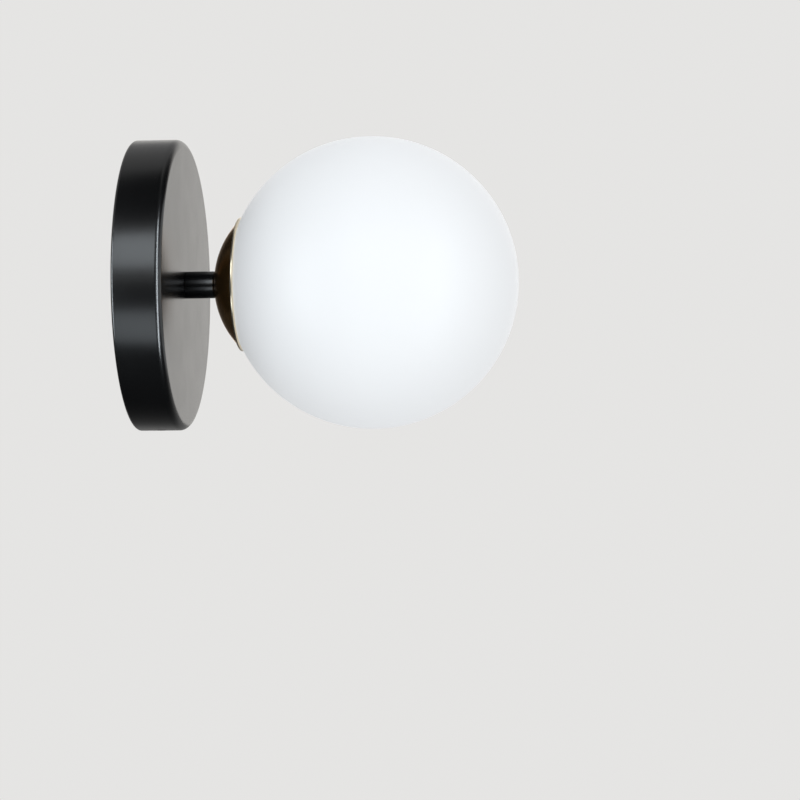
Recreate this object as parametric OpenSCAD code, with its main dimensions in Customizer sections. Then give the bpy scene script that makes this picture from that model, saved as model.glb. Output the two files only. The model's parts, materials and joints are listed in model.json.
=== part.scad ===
// Globe wall lamp: a round black canopy, a short turned spacer, a brass cup and an opal glass ball,
// with the wall bracket, wiring, lampholder and screw-in bulb that it holds inside.
// The wall is the plane y = 0, +Z is up and the lamp stands out along -Y.
// Every piece is drawn with its own axis along +Z, away from the wall, and turned by outward(),
// so there X is to the right, Y is up the wall and Z is the distance from the wall.

/* [Canopy] */
// Diameter of the round canopy
canopy_d = 140; // [125:1:180]
// Distance from the wall to the canopy's front face
canopy_front = 24; // [22:0.5:40]
// Thickness of the drawn steel sheet
canopy_wall = 1; // [0.8:0.1:1.5]
// Outer radius between the rim and the front face
canopy_front_r = 4; // [2:0.5:6]
// Outer radius of the turned-in rear edge
canopy_rear_r = 1.5; // [1.5:0.1:2.5]
// Gap between the canopy's rear edge and the wall
canopy_gap = 0.3; // [0:0.1:1]

/* [Wall bracket] */
// Width of the steel strip
bracket_w = 20; // [18:1:30]
// Thickness of the steel strip
bracket_t = 1.5; // [1:0.1:2]
// Inner radius of the two bends
bracket_bend_r = 1; // [0.5:0.1:2]
// Distance from the wall to the end of each bent ear
ear_reach = 17; // [15:0.5:20]
// Distance between the centres of the two wall-screw slots
slot_spacing = 90; // [70:1:96]
// End-to-end length of each slot
slot_len = 14; // [8:1:20]
// Width of each slot
slot_w = 5; // [4:0.5:6]
// Diameter of the hole that the house cable comes through
cable_hole_d = 13; // [8:0.5:14]
// Height of the bracket's earth screw above the centre
bracket_earth_y = 22; // [18:1:28]

/* [Rim screws] */
// Diameter of the two grub screws
rim_screw_d = 4; // [3:0.5:5]
// Distance from the wall to the grub screws
rim_screw_reach = 12; // [9:0.5:13]
// How far a grub screw's slotted end is sunk below the rim
rim_screw_sunk = 0.3; // [0:0.1:0.8]
// Gap between a grub screw's tip and the bracket's ear
rim_screw_gap = 0.1; // [0.05:0.05:0.3]
// Diameter of the nut behind each grub screw
rim_nut_d = 8; // [7:0.5:9]
// Thickness of the nut behind each grub screw
rim_nut_t = 3.2; // [2:0.1:4]

/* [Tube and nuts] */
// Outer diameter of the threaded tube that holds the lamp together
tube_d = 10; // [9:0.5:11]
// Diameter of the tube's bore
tube_bore_d = 7.2; // [6:0.1:7.4]
// How far the tube stands out behind the rear nut
tube_tail = 2; // [1:0.5:3]
// How far the tube reaches into the lampholder's cap
tube_grip = 4.7; // [3:0.1:5]
// Distance across a nut's flats
nut_af = 14; // [13:0.5:16]
// Thickness of a nut
nut_t = 3; // [2:0.1:3.5]
// Diameter of a toothed washer
washer_d = 16; // [14:0.5:17]
// Thickness of a toothed washer
washer_t = 0.6; // [0.4:0.1:1]

/* [Spacer] */
// Diameter of the turned spacer between the canopy and the cup
spacer_d = 13; // [12:0.5:20]
// Length of the spacer
spacer_len = 14.5; // [8:0.5:60]
// Rounding of the spacer's end at the cup
spacer_round = 1.2; // [0.4:0.1:1.5]
// Chamfer of the spacer's end at the canopy
spacer_chamfer = 0.3; // [0.1:0.1:0.6]

/* [Cup] */
// Diameter of the cup's rim
cup_rim_d = 64.4; // [60:0.2:72]
// Depth of the dome, measured to the circle where it would meet the glass
cup_depth = 13.9; // [13.2:0.1:15]
// Thickness of the rim's rolled edge
cup_lip_d = 1.2; // [1:0.1:1.6]
// Thickness of the cup's wall
cup_wall = 1; // [0.8:0.1:1.2]
// Thickness of the cup's floor, where the tube passes
cup_floor = 1.5; // [1.3:0.1:2]
// How far the flat seat is cut in from the top of the dome
cup_seat = 0.5; // [0.5:0.1:0.7]

/* [Globe] */
// Diameter of the glass ball
globe_d = 140; // [134:1:200]
// Thickness of the glass
globe_wall = 3; // [2:0.1:4]
// Gap between the cup's rim and the glass
globe_gap = 0.3; // [0.2:0.1:0.6]
// Clear diameter of the ball's threaded neck
neck_bore_d = 38.6; // [38.5:0.1:40]
// Thickness of the neck's wall
neck_wall = 3; // [2.5:0.1:3.2]
// Length of the neck's threaded bore
neck_len = 5.4; // [5:0.1:7]
// Depth of the thread in the neck
neck_thread = 0.4; // [0.2:0.1:0.6]
// Rise of the globe's thread in one turn
globe_pitch = 3; // [2.4:0.1:3.2]
// Thickness of the silicone gasket
gasket_t = 0.9; // [0.6:0.1:1.2]

/* [Thread collar] */
// Thickness of the collar's floor
collar_floor = 1.2; // [1:0.1:1.4]
// Thickness of the collar's wall
collar_wall = 1.2; // [1:0.1:1.5]
// Height of the collar's thread above its wall
collar_thread = 0.3; // [0.2:0.1:0.5]
// Gap between the collar's thread and the neck
collar_gap = 0.3; // [0.2:0.05:0.4]

/* [Lampholder] */
// Diameter of the lampholder
holder_d = 26.8; // [26:0.1:30]
// Thickness of the lampholder's outer wall
holder_wall = 1.7; // [1.5:0.1:2]
// Thickness of the cap's floor, which is threaded for the tube
cap_floor = 5.6; // [5.2:0.1:7]
// Diameter of the cap where it stands on the collar
cap_foot_d = 19; // [16:0.5:22]
// Depth of the wiring space in the cap
cap_room = 7.9; // [7.5:0.1:10]
// Thickness of the core that carries the contacts
core_t = 4; // [3:0.1:5]
// Length of the outer sleeve
sleeve_len = 22.7; // [21:0.1:22.8]
// Clear diameter of the sleeve's mouth
sleeve_mouth_d = 17.2; // [16.6:0.1:18]
// Clear diameter inside the threaded shell
shell_bore_d = 14.3; // [14.2:0.1:14.5]
// Length of the threaded shell
shell_len = 16.5; // [14:0.1:17]
// Thickness of the shell's metal
shell_t = 0.35; // [0.3:0.05:0.5]
// Rise of the bulb's thread in one turn
bulb_pitch = 2.82; // [2.7:0.01:2.9]

/* [Bulb] */
// Largest diameter of the candle bulb
bulb_d = 34.8; // [30:0.2:35]
// Length of the bulb, from its contact to its tip
bulb_len = 96; // [92:0.5:100]
// Outer diameter of the bulb's threaded shell
bulb_shell_d = 13.9; // [13.6:0.1:14]
// Length of the bulb's threaded shell
bulb_shell_len = 16; // [15:0.1:17]
// Length of the bulb's plastic body
bulb_body_len = 25; // [24:0.5:28]
// Thickness of the bulb's opal cover
bulb_wall = 1.2; // [0.8:0.1:1.5]

/* [Terminal block] */
// Length of the block, along its wires
block_len = 17; // [16:0.5:20]
// Distance between neighbouring poles
block_pitch = 8; // [7.5:0.1:9]
// Depth of the block from its foot to its screw side
block_depth = 13; // [12:0.5:13.5]
// Distance from the block's foot to the middle of its wires
wire_rise = 7.5; // [7:0.1:8]
// Distance from the lamp's axis to the near side of the block
block_reach = 24; // [23:0.5:26]
// Diameter of a wire's hole in a terminal sleeve
wire_hole_d = 4; // [3.6:0.1:4.2]
// Thickness of the steel carrier that holds the block
carrier_t = 1; // [0.8:0.1:1.5]

/* [Leads] */
// Outer diameter of a lead
lead_d = 1.8; // [1.4:0.1:2]
// Distance of each lead from the tube's axis
lead_offset = 1.1; // [1.05:0.01:1.15]

/* [Hidden] */
$fn = 96;

// Overshoot of a cut past the face it opens
cut = 1;
// Radial clearance of a thread or a plain hole round its shank
thread_gap = 0.05;
hole_gap = 0.2;
// Gap between pieces that turn or slide past each other
slide_gap = 0.3;
face_gap = 0.1;

// Radii
canopy_r = canopy_d / 2;
tube_r = tube_d / 2;
spacer_r = spacer_d / 2;
rim_r = cup_rim_d / 2;
globe_r = globe_d / 2;
neck_r = neck_bore_d / 2;
holder_r = holder_d / 2;
bulb_r = bulb_d / 2;
rim_screw_r = rim_screw_d / 2;
nut_corner_r = nut_af / 2 / cos(30);
lead_r = lead_d / 2;

// Stack behind the canopy's face, from the face back towards the wall
canopy_inside = canopy_front - canopy_wall;
canopy_inner_r = canopy_r - canopy_wall;
carrier_back = canopy_inside - carrier_t;
rear_washer_at = carrier_back - washer_t;
rear_nut_at = rear_washer_at - nut_t;
tube_back = rear_nut_at - tube_tail;

// Stack in front of the canopy's face
cup_at = canopy_front + spacer_len;
cup_pole = cup_at - cup_seat;
cup_r = (rim_r * rim_r + cup_depth * cup_depth) / (2 * cup_depth);
cup_centre = cup_pole + cup_r;
rim_at = cup_pole + cup_depth;
cup_inside = cup_at + cup_floor;
front_washer_at = cup_inside;
front_nut_at = front_washer_at + washer_t;
collar_at = front_nut_at + nut_t;
cap_at = collar_at + collar_floor;
tube_front = cap_at + tube_grip;

// Globe, gasket and collar
globe_seat_r = globe_r + globe_gap;
globe_centre = rim_at + sqrt(globe_seat_r * globe_seat_r - rim_r * rim_r);
neck_outer_r = neck_r + neck_wall;
gasket_r = neck_outer_r - slide_gap;
cup_inner_r = cup_r - cup_wall;
cup_lip_r = cup_lip_d / 2;
cup_lip_at = globe_centre - sqrt(pow(globe_seat_r + cup_lip_r, 2) - pow(rim_r - cup_lip_r, 2));
gasket_at = cup_centre - sqrt(pow(cup_inner_r, 2) - pow(gasket_r + slide_gap, 2));
neck_at = gasket_at + gasket_t + face_gap;
collar_crest_r = neck_r - collar_gap;
collar_r = collar_crest_r - collar_thread;
collar_top = neck_at + neck_len - collar_floor;
thread_w = 1.2;
thread_at = neck_at + 0.6;

// Lampholder
cap_inside = cap_at + cap_floor;
core_at = cap_inside + cap_room;
core_top = core_at + core_t;
cap_ledge = 1;
cap_top = core_at + core_t / 2;
cap_room_r = holder_r - holder_wall - cap_ledge;
core_r = holder_r - holder_wall - face_gap;
sleeve_top = cap_top + sleeve_len;
sleeve_face = 2;
shell_r = shell_bore_d / 2;
shell_flange_r = core_r - 1;
shell_flange_t = 0.4;
terminal_at = 5.4;
terminal_w = 3.6;
terminal_h = 4;
terminal_strap = 1;
shell_rivet_x = 9;
rivet_r = 0.75;
rivet_head_r = 1.2;
rivet_head_t = 0.5;
contact_w = 4;
contact_t = 0.4;
contact_rise = 1.2;

// Bulb
bulb_at = core_top + contact_rise + contact_t + face_gap;
bulb_button_r = 2.4;
bulb_button_t = 1.2;
bulb_insulator_len = 2.8;
bulb_shell_at = bulb_at + bulb_button_t + bulb_insulator_len;
bulb_crest_r = bulb_shell_d / 2;
bulb_shell_inner_r = bulb_crest_r - 0.95;
bulb_body_at = bulb_shell_at + bulb_shell_len;
bulb_cover_at = bulb_body_at + bulb_body_len;
bulb_tip = bulb_at + bulb_len;
bulb_plug_r = bulb_shell_inner_r - thread_gap;
bulb_body_t = 1.5;
bulb_top_r = bulb_r - 0.8;
bulb_swell = 12;
bulb_sharpness = 3;
bulb_shoulder = 3;
bulb_plug = 3;
bulb_widest = bulb_cover_at + bulb_swell;
bulb_point = bulb_tip - bulb_widest + bulb_sharpness;
bulb_arc_r = (bulb_point * bulb_point + bulb_r * bulb_r) / (2 * bulb_r);
led_board_t = 1.5;
led_board_at = bulb_cover_at - led_board_t - slide_gap;

// Bracket
ear_outer = canopy_inner_r - rim_nut_t - slide_gap;
ear_inset = 3;
ear_w = bracket_w - 2 * ear_inset;
ear_root = bracket_t + bracket_bend_r;
earth_screw_r = 2;
earth_head_r = 3.5;
earth_head_t = 2.4;
earth_washer_t = 0.6;
earth_washer_r = 4;
lug_t = 0.8;

// Terminal block, beside the nut on the carrier
block_back = carrier_back - block_depth;
block_w = 3 * block_pitch;
poles = [-block_pitch, 0, block_pitch];
wire_at = carrier_back - wire_rise;
wire_r = wire_hole_d / 2;
sleeve_r = wire_r + 0.6;
sleeve_inset = 1;
sleeve_web = 1;
sleeve_l = block_len - 2 * sleeve_inset;
wire_depth = (sleeve_l - sleeve_web) / 2;
clamp_r = 1.25;
clamp_head_r = 1.9;
clamp_head_t = 1.8;
clamp_len = 2.4;
block_mid = block_reach + block_len / 2;
clamp_in = block_reach + sleeve_inset + wire_depth / 2;
clamp_out = block_reach + block_len - sleeve_inset - wire_depth / 2;
block_screw_r = block_pitch / 2 - sleeve_r - slide_gap;
block_screw_head_r = 2 * block_screw_r;
block_screw_head_t = 1.6;
block_screw_sunk = wire_at - sleeve_r - slide_gap - block_back;
block_screw_y = block_pitch / 2;
block_notch_r = 1.5;
carrier_end = block_reach + block_len + 2;
carrier_start = -10;
carrier_w = block_w + 2;
earth_x = 13.5;
earth_y = -block_pitch;
lug_len = 9;
lug_barrel_r = 1.6;
ferrule_r = lead_r + 0.35;
ferrule_len = 5;

// Lead routes: right, up and distance from the wall, from the lampholder to the terminal block
wire_in = block_reach + sleeve_inset + wire_depth - 1;
lead_stop = 1.6;
lead_bend = 4;
lead_bow = 4.5;
tail = tube_back - 2;
live_route = [[-terminal_at, 0, core_at - lead_stop], [-terminal_at, 0, core_at - terminal_h],
    [-0.66 * terminal_at, 0, tube_front + 0.55 * lead_bend],
    [-lead_offset, 0, tube_front - 0.15 * lead_bend], [-lead_offset, 0, tube_front - lead_bend],
    [-lead_offset, 0, cup_at], [-lead_offset, 0, canopy_front], [-lead_offset, 0, tail],
    [0.09 * lead_bow, 0.27 * lead_bow, tail - 0.58 * lead_bow], [lead_bow, 0.75 * lead_bow, tail - lead_bow],
    [0.42 * block_reach, 0.8 * block_pitch, tail - lead_bow],
    [0.65 * block_reach, block_pitch, tail - 0.8 * lead_bow],
    [block_reach - lead_bend, block_pitch, wire_at - 0.15 * lead_bend],
    [block_reach - 1, block_pitch, wire_at], [block_reach + 2, block_pitch, wire_at],
    [wire_in, block_pitch, wire_at]];
neutral_route = [[terminal_at, 0, core_at - lead_stop], [terminal_at, 0, core_at - terminal_h],
    [0.66 * terminal_at, 0, tube_front + 0.55 * lead_bend],
    [lead_offset, 0, tube_front - 0.15 * lead_bend], [lead_offset, 0, tube_front - lead_bend],
    [lead_offset, 0, cup_at], [lead_offset, 0, canopy_front], [lead_offset, 0, tail],
    [2 * lead_offset, -0.27 * lead_bow, tail - 0.58 * lead_bow],
    [1.24 * lead_bow, -0.75 * lead_bow, tail - 0.95 * lead_bow],
    [0.44 * block_reach, -0.8 * block_pitch, tail - lead_bow],
    [0.65 * block_reach, -block_pitch, tail - 0.8 * lead_bow],
    [block_reach - lead_bend, -block_pitch, wire_at - 0.15 * lead_bend],
    [block_reach - 1, -block_pitch, wire_at], [block_reach + 2, -block_pitch, wire_at],
    [wire_in, -block_pitch, wire_at]];
lug_at = carrier_back - earth_washer_t - lug_t / 2;
lug_wire = lug_at - lug_barrel_r + lug_t / 2;
lug_end = earth_y + lug_len;
earth_route = [[earth_x, lug_end - 3, lug_wire], [earth_x, lug_end, lug_wire],
    [earth_x + 0.3, lug_end + 0.62 * lead_bend, lug_wire - 0.15 * lead_bend],
    [earth_x + 0.65 * lead_bend, lug_end + lead_bend, lug_wire - 0.8 * lead_bend],
    [earth_x + 1.5 * lead_bend, lug_end + 0.4 * lead_bend, wire_at + 0.15 * lead_bend],
    [block_reach - 1, 0, wire_at], [block_reach + 2, 0, wire_at], [wire_in, 0, wire_at]];

// Turns a piece drawn along +Z so that it points away from the wall
module outward() rotate([90, 0, 0]) children();

// Round body with a hole, from one distance to another
module ring(outer, inner, from, to) {
    translate([0, 0, from]) difference() {
        cylinder(r = outer, h = to - from);
        translate([0, 0, -cut]) cylinder(r = inner, h = to - from + 2 * cut);
    }
}

// Channel section with rounded lower corners, open at the top
module channel(reach, height, r) {
    translate([-reach, r]) square([2 * reach, height - r]);
    translate([r - reach, 0]) square([2 * (reach - r), r]);
    for (side = [-1, 1]) translate([side * (reach - r), r]) circle(r);
}

// Round-ended slot through a sheet that starts at the wall
module slot_cut(length, width, depth) {
    translate([0, 0, -cut]) linear_extrude(depth + 2 * cut) {
        square([width, length - width], center = true);
        for (side = [-1, 1]) translate([0, side * (length - width) / 2]) circle(width / 2);
    }
}

// Hexagon nut with its corners turned back on both faces
module nut(at) {
    chamfer = 0.5;
    translate([0, 0, at]) difference() {
        intersection() {
            cylinder(r = nut_corner_r, h = nut_t, $fn = 6);
            rotate_extrude() polygon([[0, 0], [nut_corner_r - chamfer, 0], [nut_corner_r + chamfer, chamfer],
                [nut_corner_r + chamfer, nut_t - chamfer], [nut_corner_r - chamfer, nut_t], [0, nut_t]]);
        }
        translate([0, 0, -cut]) cylinder(r = tube_r + thread_gap, h = nut_t + 2 * cut);
    }
}

// Lock washer whose edge is cut into teeth
module toothed_washer(outer, inner, thickness, teeth) {
    notch_w = PI * outer / teeth;
    difference() {
        ring(outer, inner, 0, thickness);
        for (i = [0 : teeth - 1]) rotate(i * 360 / teeth)
            translate([outer * 0.84, -notch_w / 2, -cut]) cube([outer, notch_w, thickness + 2 * cut]);
    }
}

// Cheese-head screw along +Z: its head below zero and its shank above
module cheese_screw(head_r, head_t, shank_r, shank_len) {
    slot = 0.8;
    difference() {
        union() {
            translate([0, 0, -head_t]) cylinder(r = head_r, h = head_t);
            cylinder(r = shank_r, h = shank_len);
        }
        translate([-head_r - cut, -slot / 2, -head_t - cut])
            cube([2 * (head_r + cut), slot, cut + head_t / 2]);
    }
}

// Points of a smooth route through the given ones
function bend(p, i, t) = let (
    a = p[max(i - 1, 0)], b = p[i], c = p[i + 1], d = p[min(i + 2, len(p) - 1)])
    0.5 * (2 * b + (c - a) * t + (2 * a - 5 * b + 4 * c - d) * t * t + (3 * b - a - 3 * c + d) * t * t * t);
function smooth(p, steps) = [
    for (i = [0 : len(p) - 2]) for (k = [0 : steps - 1]) bend(p, i, k / steps), p[len(p) - 1]];
function unit(v) = v / norm(v);
function along(p, i) = unit(p[min(i + 1, len(p) - 1)] - p[max(i - 1, 0)]);

// Round wire swept along a route; side is a direction that the route never runs along
module wire(points, r, side) {
    sides = 8;
    p = smooth(points, 2);
    n = len(p);
    rings = [for (i = [0 : n - 1]) let (t = along(p, i), u = unit(cross(t, side)), v = cross(t, u))
        for (k = [0 : sides - 1]) p[i] + r * (cos(k * 360 / sides) * u + sin(k * 360 / sides) * v)];
    walls = [for (i = [0 : n - 2]) for (k = [0 : sides - 1])
        let (a = i * sides + k, b = i * sides + (k + 1) % sides)
        each [[a, b, b + sides], [a, b + sides, a + sides]]];
    ends = [for (k = [1 : sides - 2]) each [[0, k + 1, k],
        [(n - 1) * sides, (n - 1) * sides + k, (n - 1) * sides + k + 1]]];
    polyhedron(rings, concat(walls, ends));
}

// Steel strip across the wall with an ear bent forward at each end
module wall_bracket() color([0.72, 0.73, 0.75]) outward() difference() {
    rotate([90, 0, 90]) linear_extrude(bracket_w, center = true) difference() {
        channel(ear_outer, ear_reach, ear_root);
        translate([0, bracket_t]) channel(ear_outer - bracket_t, ear_reach, bracket_bend_r);
    }
    for (side = [-1, 1], end = [-1, 1])
        translate([side * (ear_w + bracket_w) / 2, end * ear_outer, ear_root + ear_reach / 2])
            cube([bracket_w, 4 * bracket_t, ear_reach], center = true);
    translate([0, 0, -cut]) cylinder(d = cable_hole_d, h = bracket_t + 2 * cut);
    for (side = [-1, 1]) translate([0, side * slot_spacing / 2, 0]) slot_cut(slot_len, slot_w, bracket_t);
    translate([0, bracket_earth_y, -cut]) cylinder(r = earth_screw_r + thread_gap, h = bracket_t + 2 * cut);
}

// Screw for the house cable's earth wire, threaded into the strip from the front
module bracket_earth_screw() color([0.8, 0.68, 0.36]) outward()
    translate([0, bracket_earth_y, bracket_t + earth_washer_t]) rotate([180, 0, 0])
        cheese_screw(earth_head_r, earth_head_t, earth_screw_r, bracket_t + earth_washer_t);

module bracket_earth_washer() color([0.75, 0.76, 0.78]) outward()
    translate([0, bracket_earth_y, bracket_t])
        toothed_washer(earth_washer_r, earth_screw_r + hole_gap, earth_washer_t, 10);

// Section of the canopy's dish between its axis and a radius, with both edges rounded
module dish_section(r, from, to, front_r, rear_r) {
    difference() {
        union() {
            translate([0, from + rear_r]) square([r, to - from - front_r - rear_r]);
            translate([0, from]) square([r - max(front_r, rear_r), to - from]);
            translate([r - front_r, to - front_r]) circle(front_r);
            translate([r - rear_r, from + rear_r]) circle(rear_r);
            translate([0, from]) square([r - rear_r, rear_r]);
        }
        translate([-2 * r, from - cut]) square([2 * r, to + cut]);
    }
}

// Drawn steel dish over the bracket
module canopy() color([0.07, 0.07, 0.075]) outward() difference() {
    rotate_extrude() difference() {
        dish_section(canopy_r, canopy_gap, canopy_front, canopy_front_r, canopy_rear_r);
        dish_section(canopy_inner_r, canopy_gap + canopy_wall, canopy_inside,
            canopy_front_r - canopy_wall, canopy_rear_r - canopy_wall);
        translate([0, canopy_gap - cut]) square([canopy_r - canopy_rear_r, canopy_wall + 2 * cut]);
    }
    translate([0, 0, canopy_inside - cut]) cylinder(r = tube_r + hole_gap, h = canopy_wall + 2 * cut);
    for (side = [-1, 1]) translate([0, side * canopy_inner_r, rim_screw_reach]) rotate([90, 0, 0])
        cylinder(r = rim_screw_r + hole_gap, h = 4 * canopy_wall, center = true);
}

// Round nuts welded inside the rim
module rim_nuts() color([0.62, 0.63, 0.65]) outward() for (side = [0, 180])
    rotate(side) intersection() {
        translate([0, canopy_inner_r + cut, rim_screw_reach]) rotate([90, 0, 0]) difference() {
            cylinder(d = rim_nut_d, h = rim_nut_t + cut);
            translate([0, 0, -cut]) cylinder(r = rim_screw_r + thread_gap, h = rim_nut_t + 3 * cut);
        }
        cylinder(r = canopy_inner_r - thread_gap, h = canopy_front, $fn = 720);
    }

// Slotted grub screw from the rim down to the bracket's ear
module rim_screw() {
    top = canopy_r - rim_screw_sunk;
    tip = ear_outer + rim_screw_gap;
    slot = 0.7;
    slot_depth = 1.2;
    bevel = 0.4;
    translate([0, 0, rim_screw_reach]) rotate([-90, 0, 0]) difference() {
        rotate_extrude() polygon([[0, tip], [rim_screw_r - bevel, tip], [rim_screw_r, tip + bevel],
            [rim_screw_r, top - bevel / 2], [rim_screw_r - bevel / 2, top], [0, top]]);
        translate([-rim_screw_r - cut, -slot / 2, top - slot_depth])
            cube([2 * (rim_screw_r + cut), slot, slot_depth + cut]);
    }
}

module rim_screw_top() color([0.09, 0.09, 0.1]) outward() rim_screw();

module rim_screw_bottom() color([0.09, 0.09, 0.1]) outward() rotate(180) rim_screw();

// Steel plate under the rear nut that carries the terminal block and the earth screw
module terminal_carrier() color([0.7, 0.71, 0.73]) outward() difference() {
    translate([carrier_start, -carrier_w / 2, carrier_back])
        cube([carrier_end - carrier_start, carrier_w, carrier_t]);
    translate([0, 0, carrier_back - cut]) cylinder(r = tube_r + hole_gap, h = carrier_t + 2 * cut);
    translate([earth_x, earth_y, carrier_back - cut])
        cylinder(r = earth_screw_r + thread_gap, h = carrier_t + 2 * cut);
    translate([block_mid, block_screw_y, carrier_back - cut])
        cylinder(r = block_screw_r + thread_gap, h = carrier_t + 2 * cut);
}

module rear_lock_washer() color([0.75, 0.76, 0.78]) outward()
    translate([0, 0, rear_washer_at]) toothed_washer(washer_d / 2, tube_r + hole_gap, washer_t, 14);

module rear_nut() color([0.78, 0.66, 0.36]) outward() nut(rear_nut_at);

// Threaded tube from the rear nut to the lampholder's cap, with the leads inside
module threaded_tube() color([0.76, 0.77, 0.78]) outward()
    ring(tube_r, tube_bore_d / 2, tube_back, tube_front);

// Plastic bush that keeps the leads off the tube's rear edge
module tube_bush() color([0.9, 0.9, 0.88]) outward() {
    hole = lead_offset + lead_r + slide_gap;
    bush_grip = 4;
    ring(tube_r, hole, tube_back - 1, tube_back);
    ring(tube_bore_d / 2 - thread_gap, hole, tube_back, tube_back + bush_grip);
}

// Turned spacer
module spacer() color([0.06, 0.06, 0.065]) outward() rotate_extrude() difference() {
    round_at = cup_at - spacer_round;
    union() {
        polygon([[0, canopy_front], [spacer_r - spacer_chamfer, canopy_front],
            [spacer_r, canopy_front + spacer_chamfer], [spacer_r, round_at], [0, round_at]]);
        translate([0, round_at]) square([spacer_r - spacer_round, spacer_round]);
        translate([spacer_r - spacer_round, round_at]) circle(spacer_round);
    }
    translate([-2 * spacer_r, 0]) square([2 * spacer_r + tube_r + hole_gap / 2, cup_at + cut]);
}

// Brass cup, a shallow dome that follows the glass ball to a rolled rim
module cup() color([0.8, 0.62, 0.3]) outward() rotate_extrude() {
    dome_section();
    translate([rim_r - cup_lip_r, cup_lip_at]) circle(cup_lip_r, $fn = 32);
}

// Section of the dome from the tube's hole to the rolled edge
module dome_section() difference() {
    translate([0, cup_centre]) circle(cup_r, $fn = 180);
    difference() {
        translate([0, cup_centre]) circle(cup_inner_r, $fn = 180);
        translate([-cup_r, cup_pole - cut]) square([2 * cup_r, cup_inside - cup_pole + cut]);
    }
    translate([0, globe_centre]) circle(globe_seat_r, $fn = 180);
    translate([-cup_r, cup_pole - cut]) square([2 * cup_r, cup_seat + cut]);
    translate([-2 * cup_r, cup_pole - cut]) square([2 * cup_r + tube_r + hole_gap, 3 * cup_r]);
    translate([-2 * cup_r, cup_lip_at]) square([4 * cup_r, 3 * cup_r]);
}

module front_lock_washer() color([0.75, 0.76, 0.78]) outward()
    translate([0, 0, front_washer_at]) toothed_washer(washer_d / 2, tube_r + hole_gap, washer_t, 14);

module front_nut() color([0.78, 0.66, 0.36]) outward() nut(front_nut_at);

// Aluminium collar that the glass ball screws onto
module thread_collar() color([0.82, 0.83, 0.84]) outward() rotate_extrude() difference() {
    union() {
        translate([0, collar_at]) square([collar_r, collar_floor]);
        translate([collar_r - collar_wall, collar_at]) square([collar_wall, collar_top - collar_at]);
        for (turn = [0, 1]) translate([collar_r - collar_wall, thread_at + turn * globe_pitch])
            square([collar_wall + collar_thread, thread_w]);
    }
    translate([-collar_r, 0]) square([collar_r + tube_r + hole_gap, collar_top]);
}

// Soft ring under the end of the glass neck
module gasket() color([0.85, 0.85, 0.83]) outward()
    ring(gasket_r, neck_r + face_gap, gasket_at, gasket_at + gasket_t);

// Opal glass ball with a short neck, threaded inside
module globe() color([0.96, 0.96, 0.95]) outward() rotate_extrude() difference() {
    union() {
        difference() {
            translate([0, globe_centre]) circle(globe_r, $fn = 240);
            translate([0, globe_centre]) circle(globe_r - globe_wall, $fn = 240);
        }
        translate([0, neck_at]) square([neck_outer_r, neck_len]);
    }
    translate([-2 * globe_r, 0]) square([2 * globe_r, 2 * globe_centre]);
    translate([0, globe_centre - globe_r - cut]) square([neck_r, globe_r / 2]);
    for (turn = [0, 1]) translate([0, thread_at + turn * globe_pitch])
        square([neck_r + neck_thread, thread_w]);
}

// Cap of the lampholder, threaded onto the tube
module holder_cap() color([0.12, 0.12, 0.12]) outward() rotate_extrude() difference() {
    polygon([[0, cap_at], [cap_foot_d / 2, cap_at], [holder_r, cap_inside], [holder_r, cap_top],
        [0, cap_top]]);
    translate([0, cap_inside]) square([cap_room_r, cap_top]);
    translate([0, core_at]) square([core_r + face_gap, cap_top]);
    translate([0, cap_at - cut]) square([tube_r + thread_gap, cap_floor + 2 * cut]);
}

// Core that the contacts are riveted to
module holder_core() color([0.86, 0.84, 0.78]) outward() difference() {
    translate([0, 0, core_at]) cylinder(r = core_r, h = core_t);
    for (x = [0, shell_rivet_x]) translate([x, 0, core_at - cut])
        cylinder(r = rivet_r + thread_gap, h = core_t + 2 * cut);
}

// Outer sleeve, open at the front for the bulb
module holder_sleeve() color([0.12, 0.12, 0.12]) outward() rotate_extrude() difference() {
    translate([0, cap_top]) square([holder_r, sleeve_len]);
    translate([0, cap_top - cut]) square([holder_r - holder_wall, sleeve_len - sleeve_face + cut]);
    translate([0, cap_top]) square([sleeve_mouth_d / 2, sleeve_len + cut]);
}

// Threaded metal shell with a foot that is riveted to the core
module holder_shell() color([0.82, 0.72, 0.42]) outward() difference() {
    rotate_extrude() difference() {
        union() {
            translate([0, core_top]) square([shell_r + shell_t, shell_len]);
            translate([0, core_top]) square([shell_flange_r, shell_flange_t]);
            for (turn = [1 : 4]) translate([shell_r + shell_t - 0.15, core_top + turn * bulb_pitch + 1.6])
                circle(0.65, $fn = 32);
        }
        translate([-3 * shell_r, core_top - cut]) square([4 * shell_r, shell_len + 2 * cut]);
    }
    translate([shell_rivet_x, 0, core_top - cut])
        cylinder(r = rivet_r + thread_gap, h = 2 * cut + shell_flange_t);
}

// Spring leaf under the bulb's contact, riveted at the centre and folded back over itself
module holder_contact() color([0.84, 0.74, 0.45]) outward() {
    back = shell_r - 1.2;
    tip = 2.2;
    difference() {
        translate([-back, -contact_w / 2, core_top]) cube([back + tip, contact_w, contact_t]);
        translate([0, 0, core_top - cut]) cylinder(r = rivet_r + thread_gap, h = contact_t + 2 * cut);
    }
    translate([-back, -contact_w / 2, core_top]) cube([contact_t, contact_w, contact_rise + contact_t]);
    translate([-back, -contact_w / 2, core_top + contact_rise]) cube([back + tip, contact_w, contact_t]);
}

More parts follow.
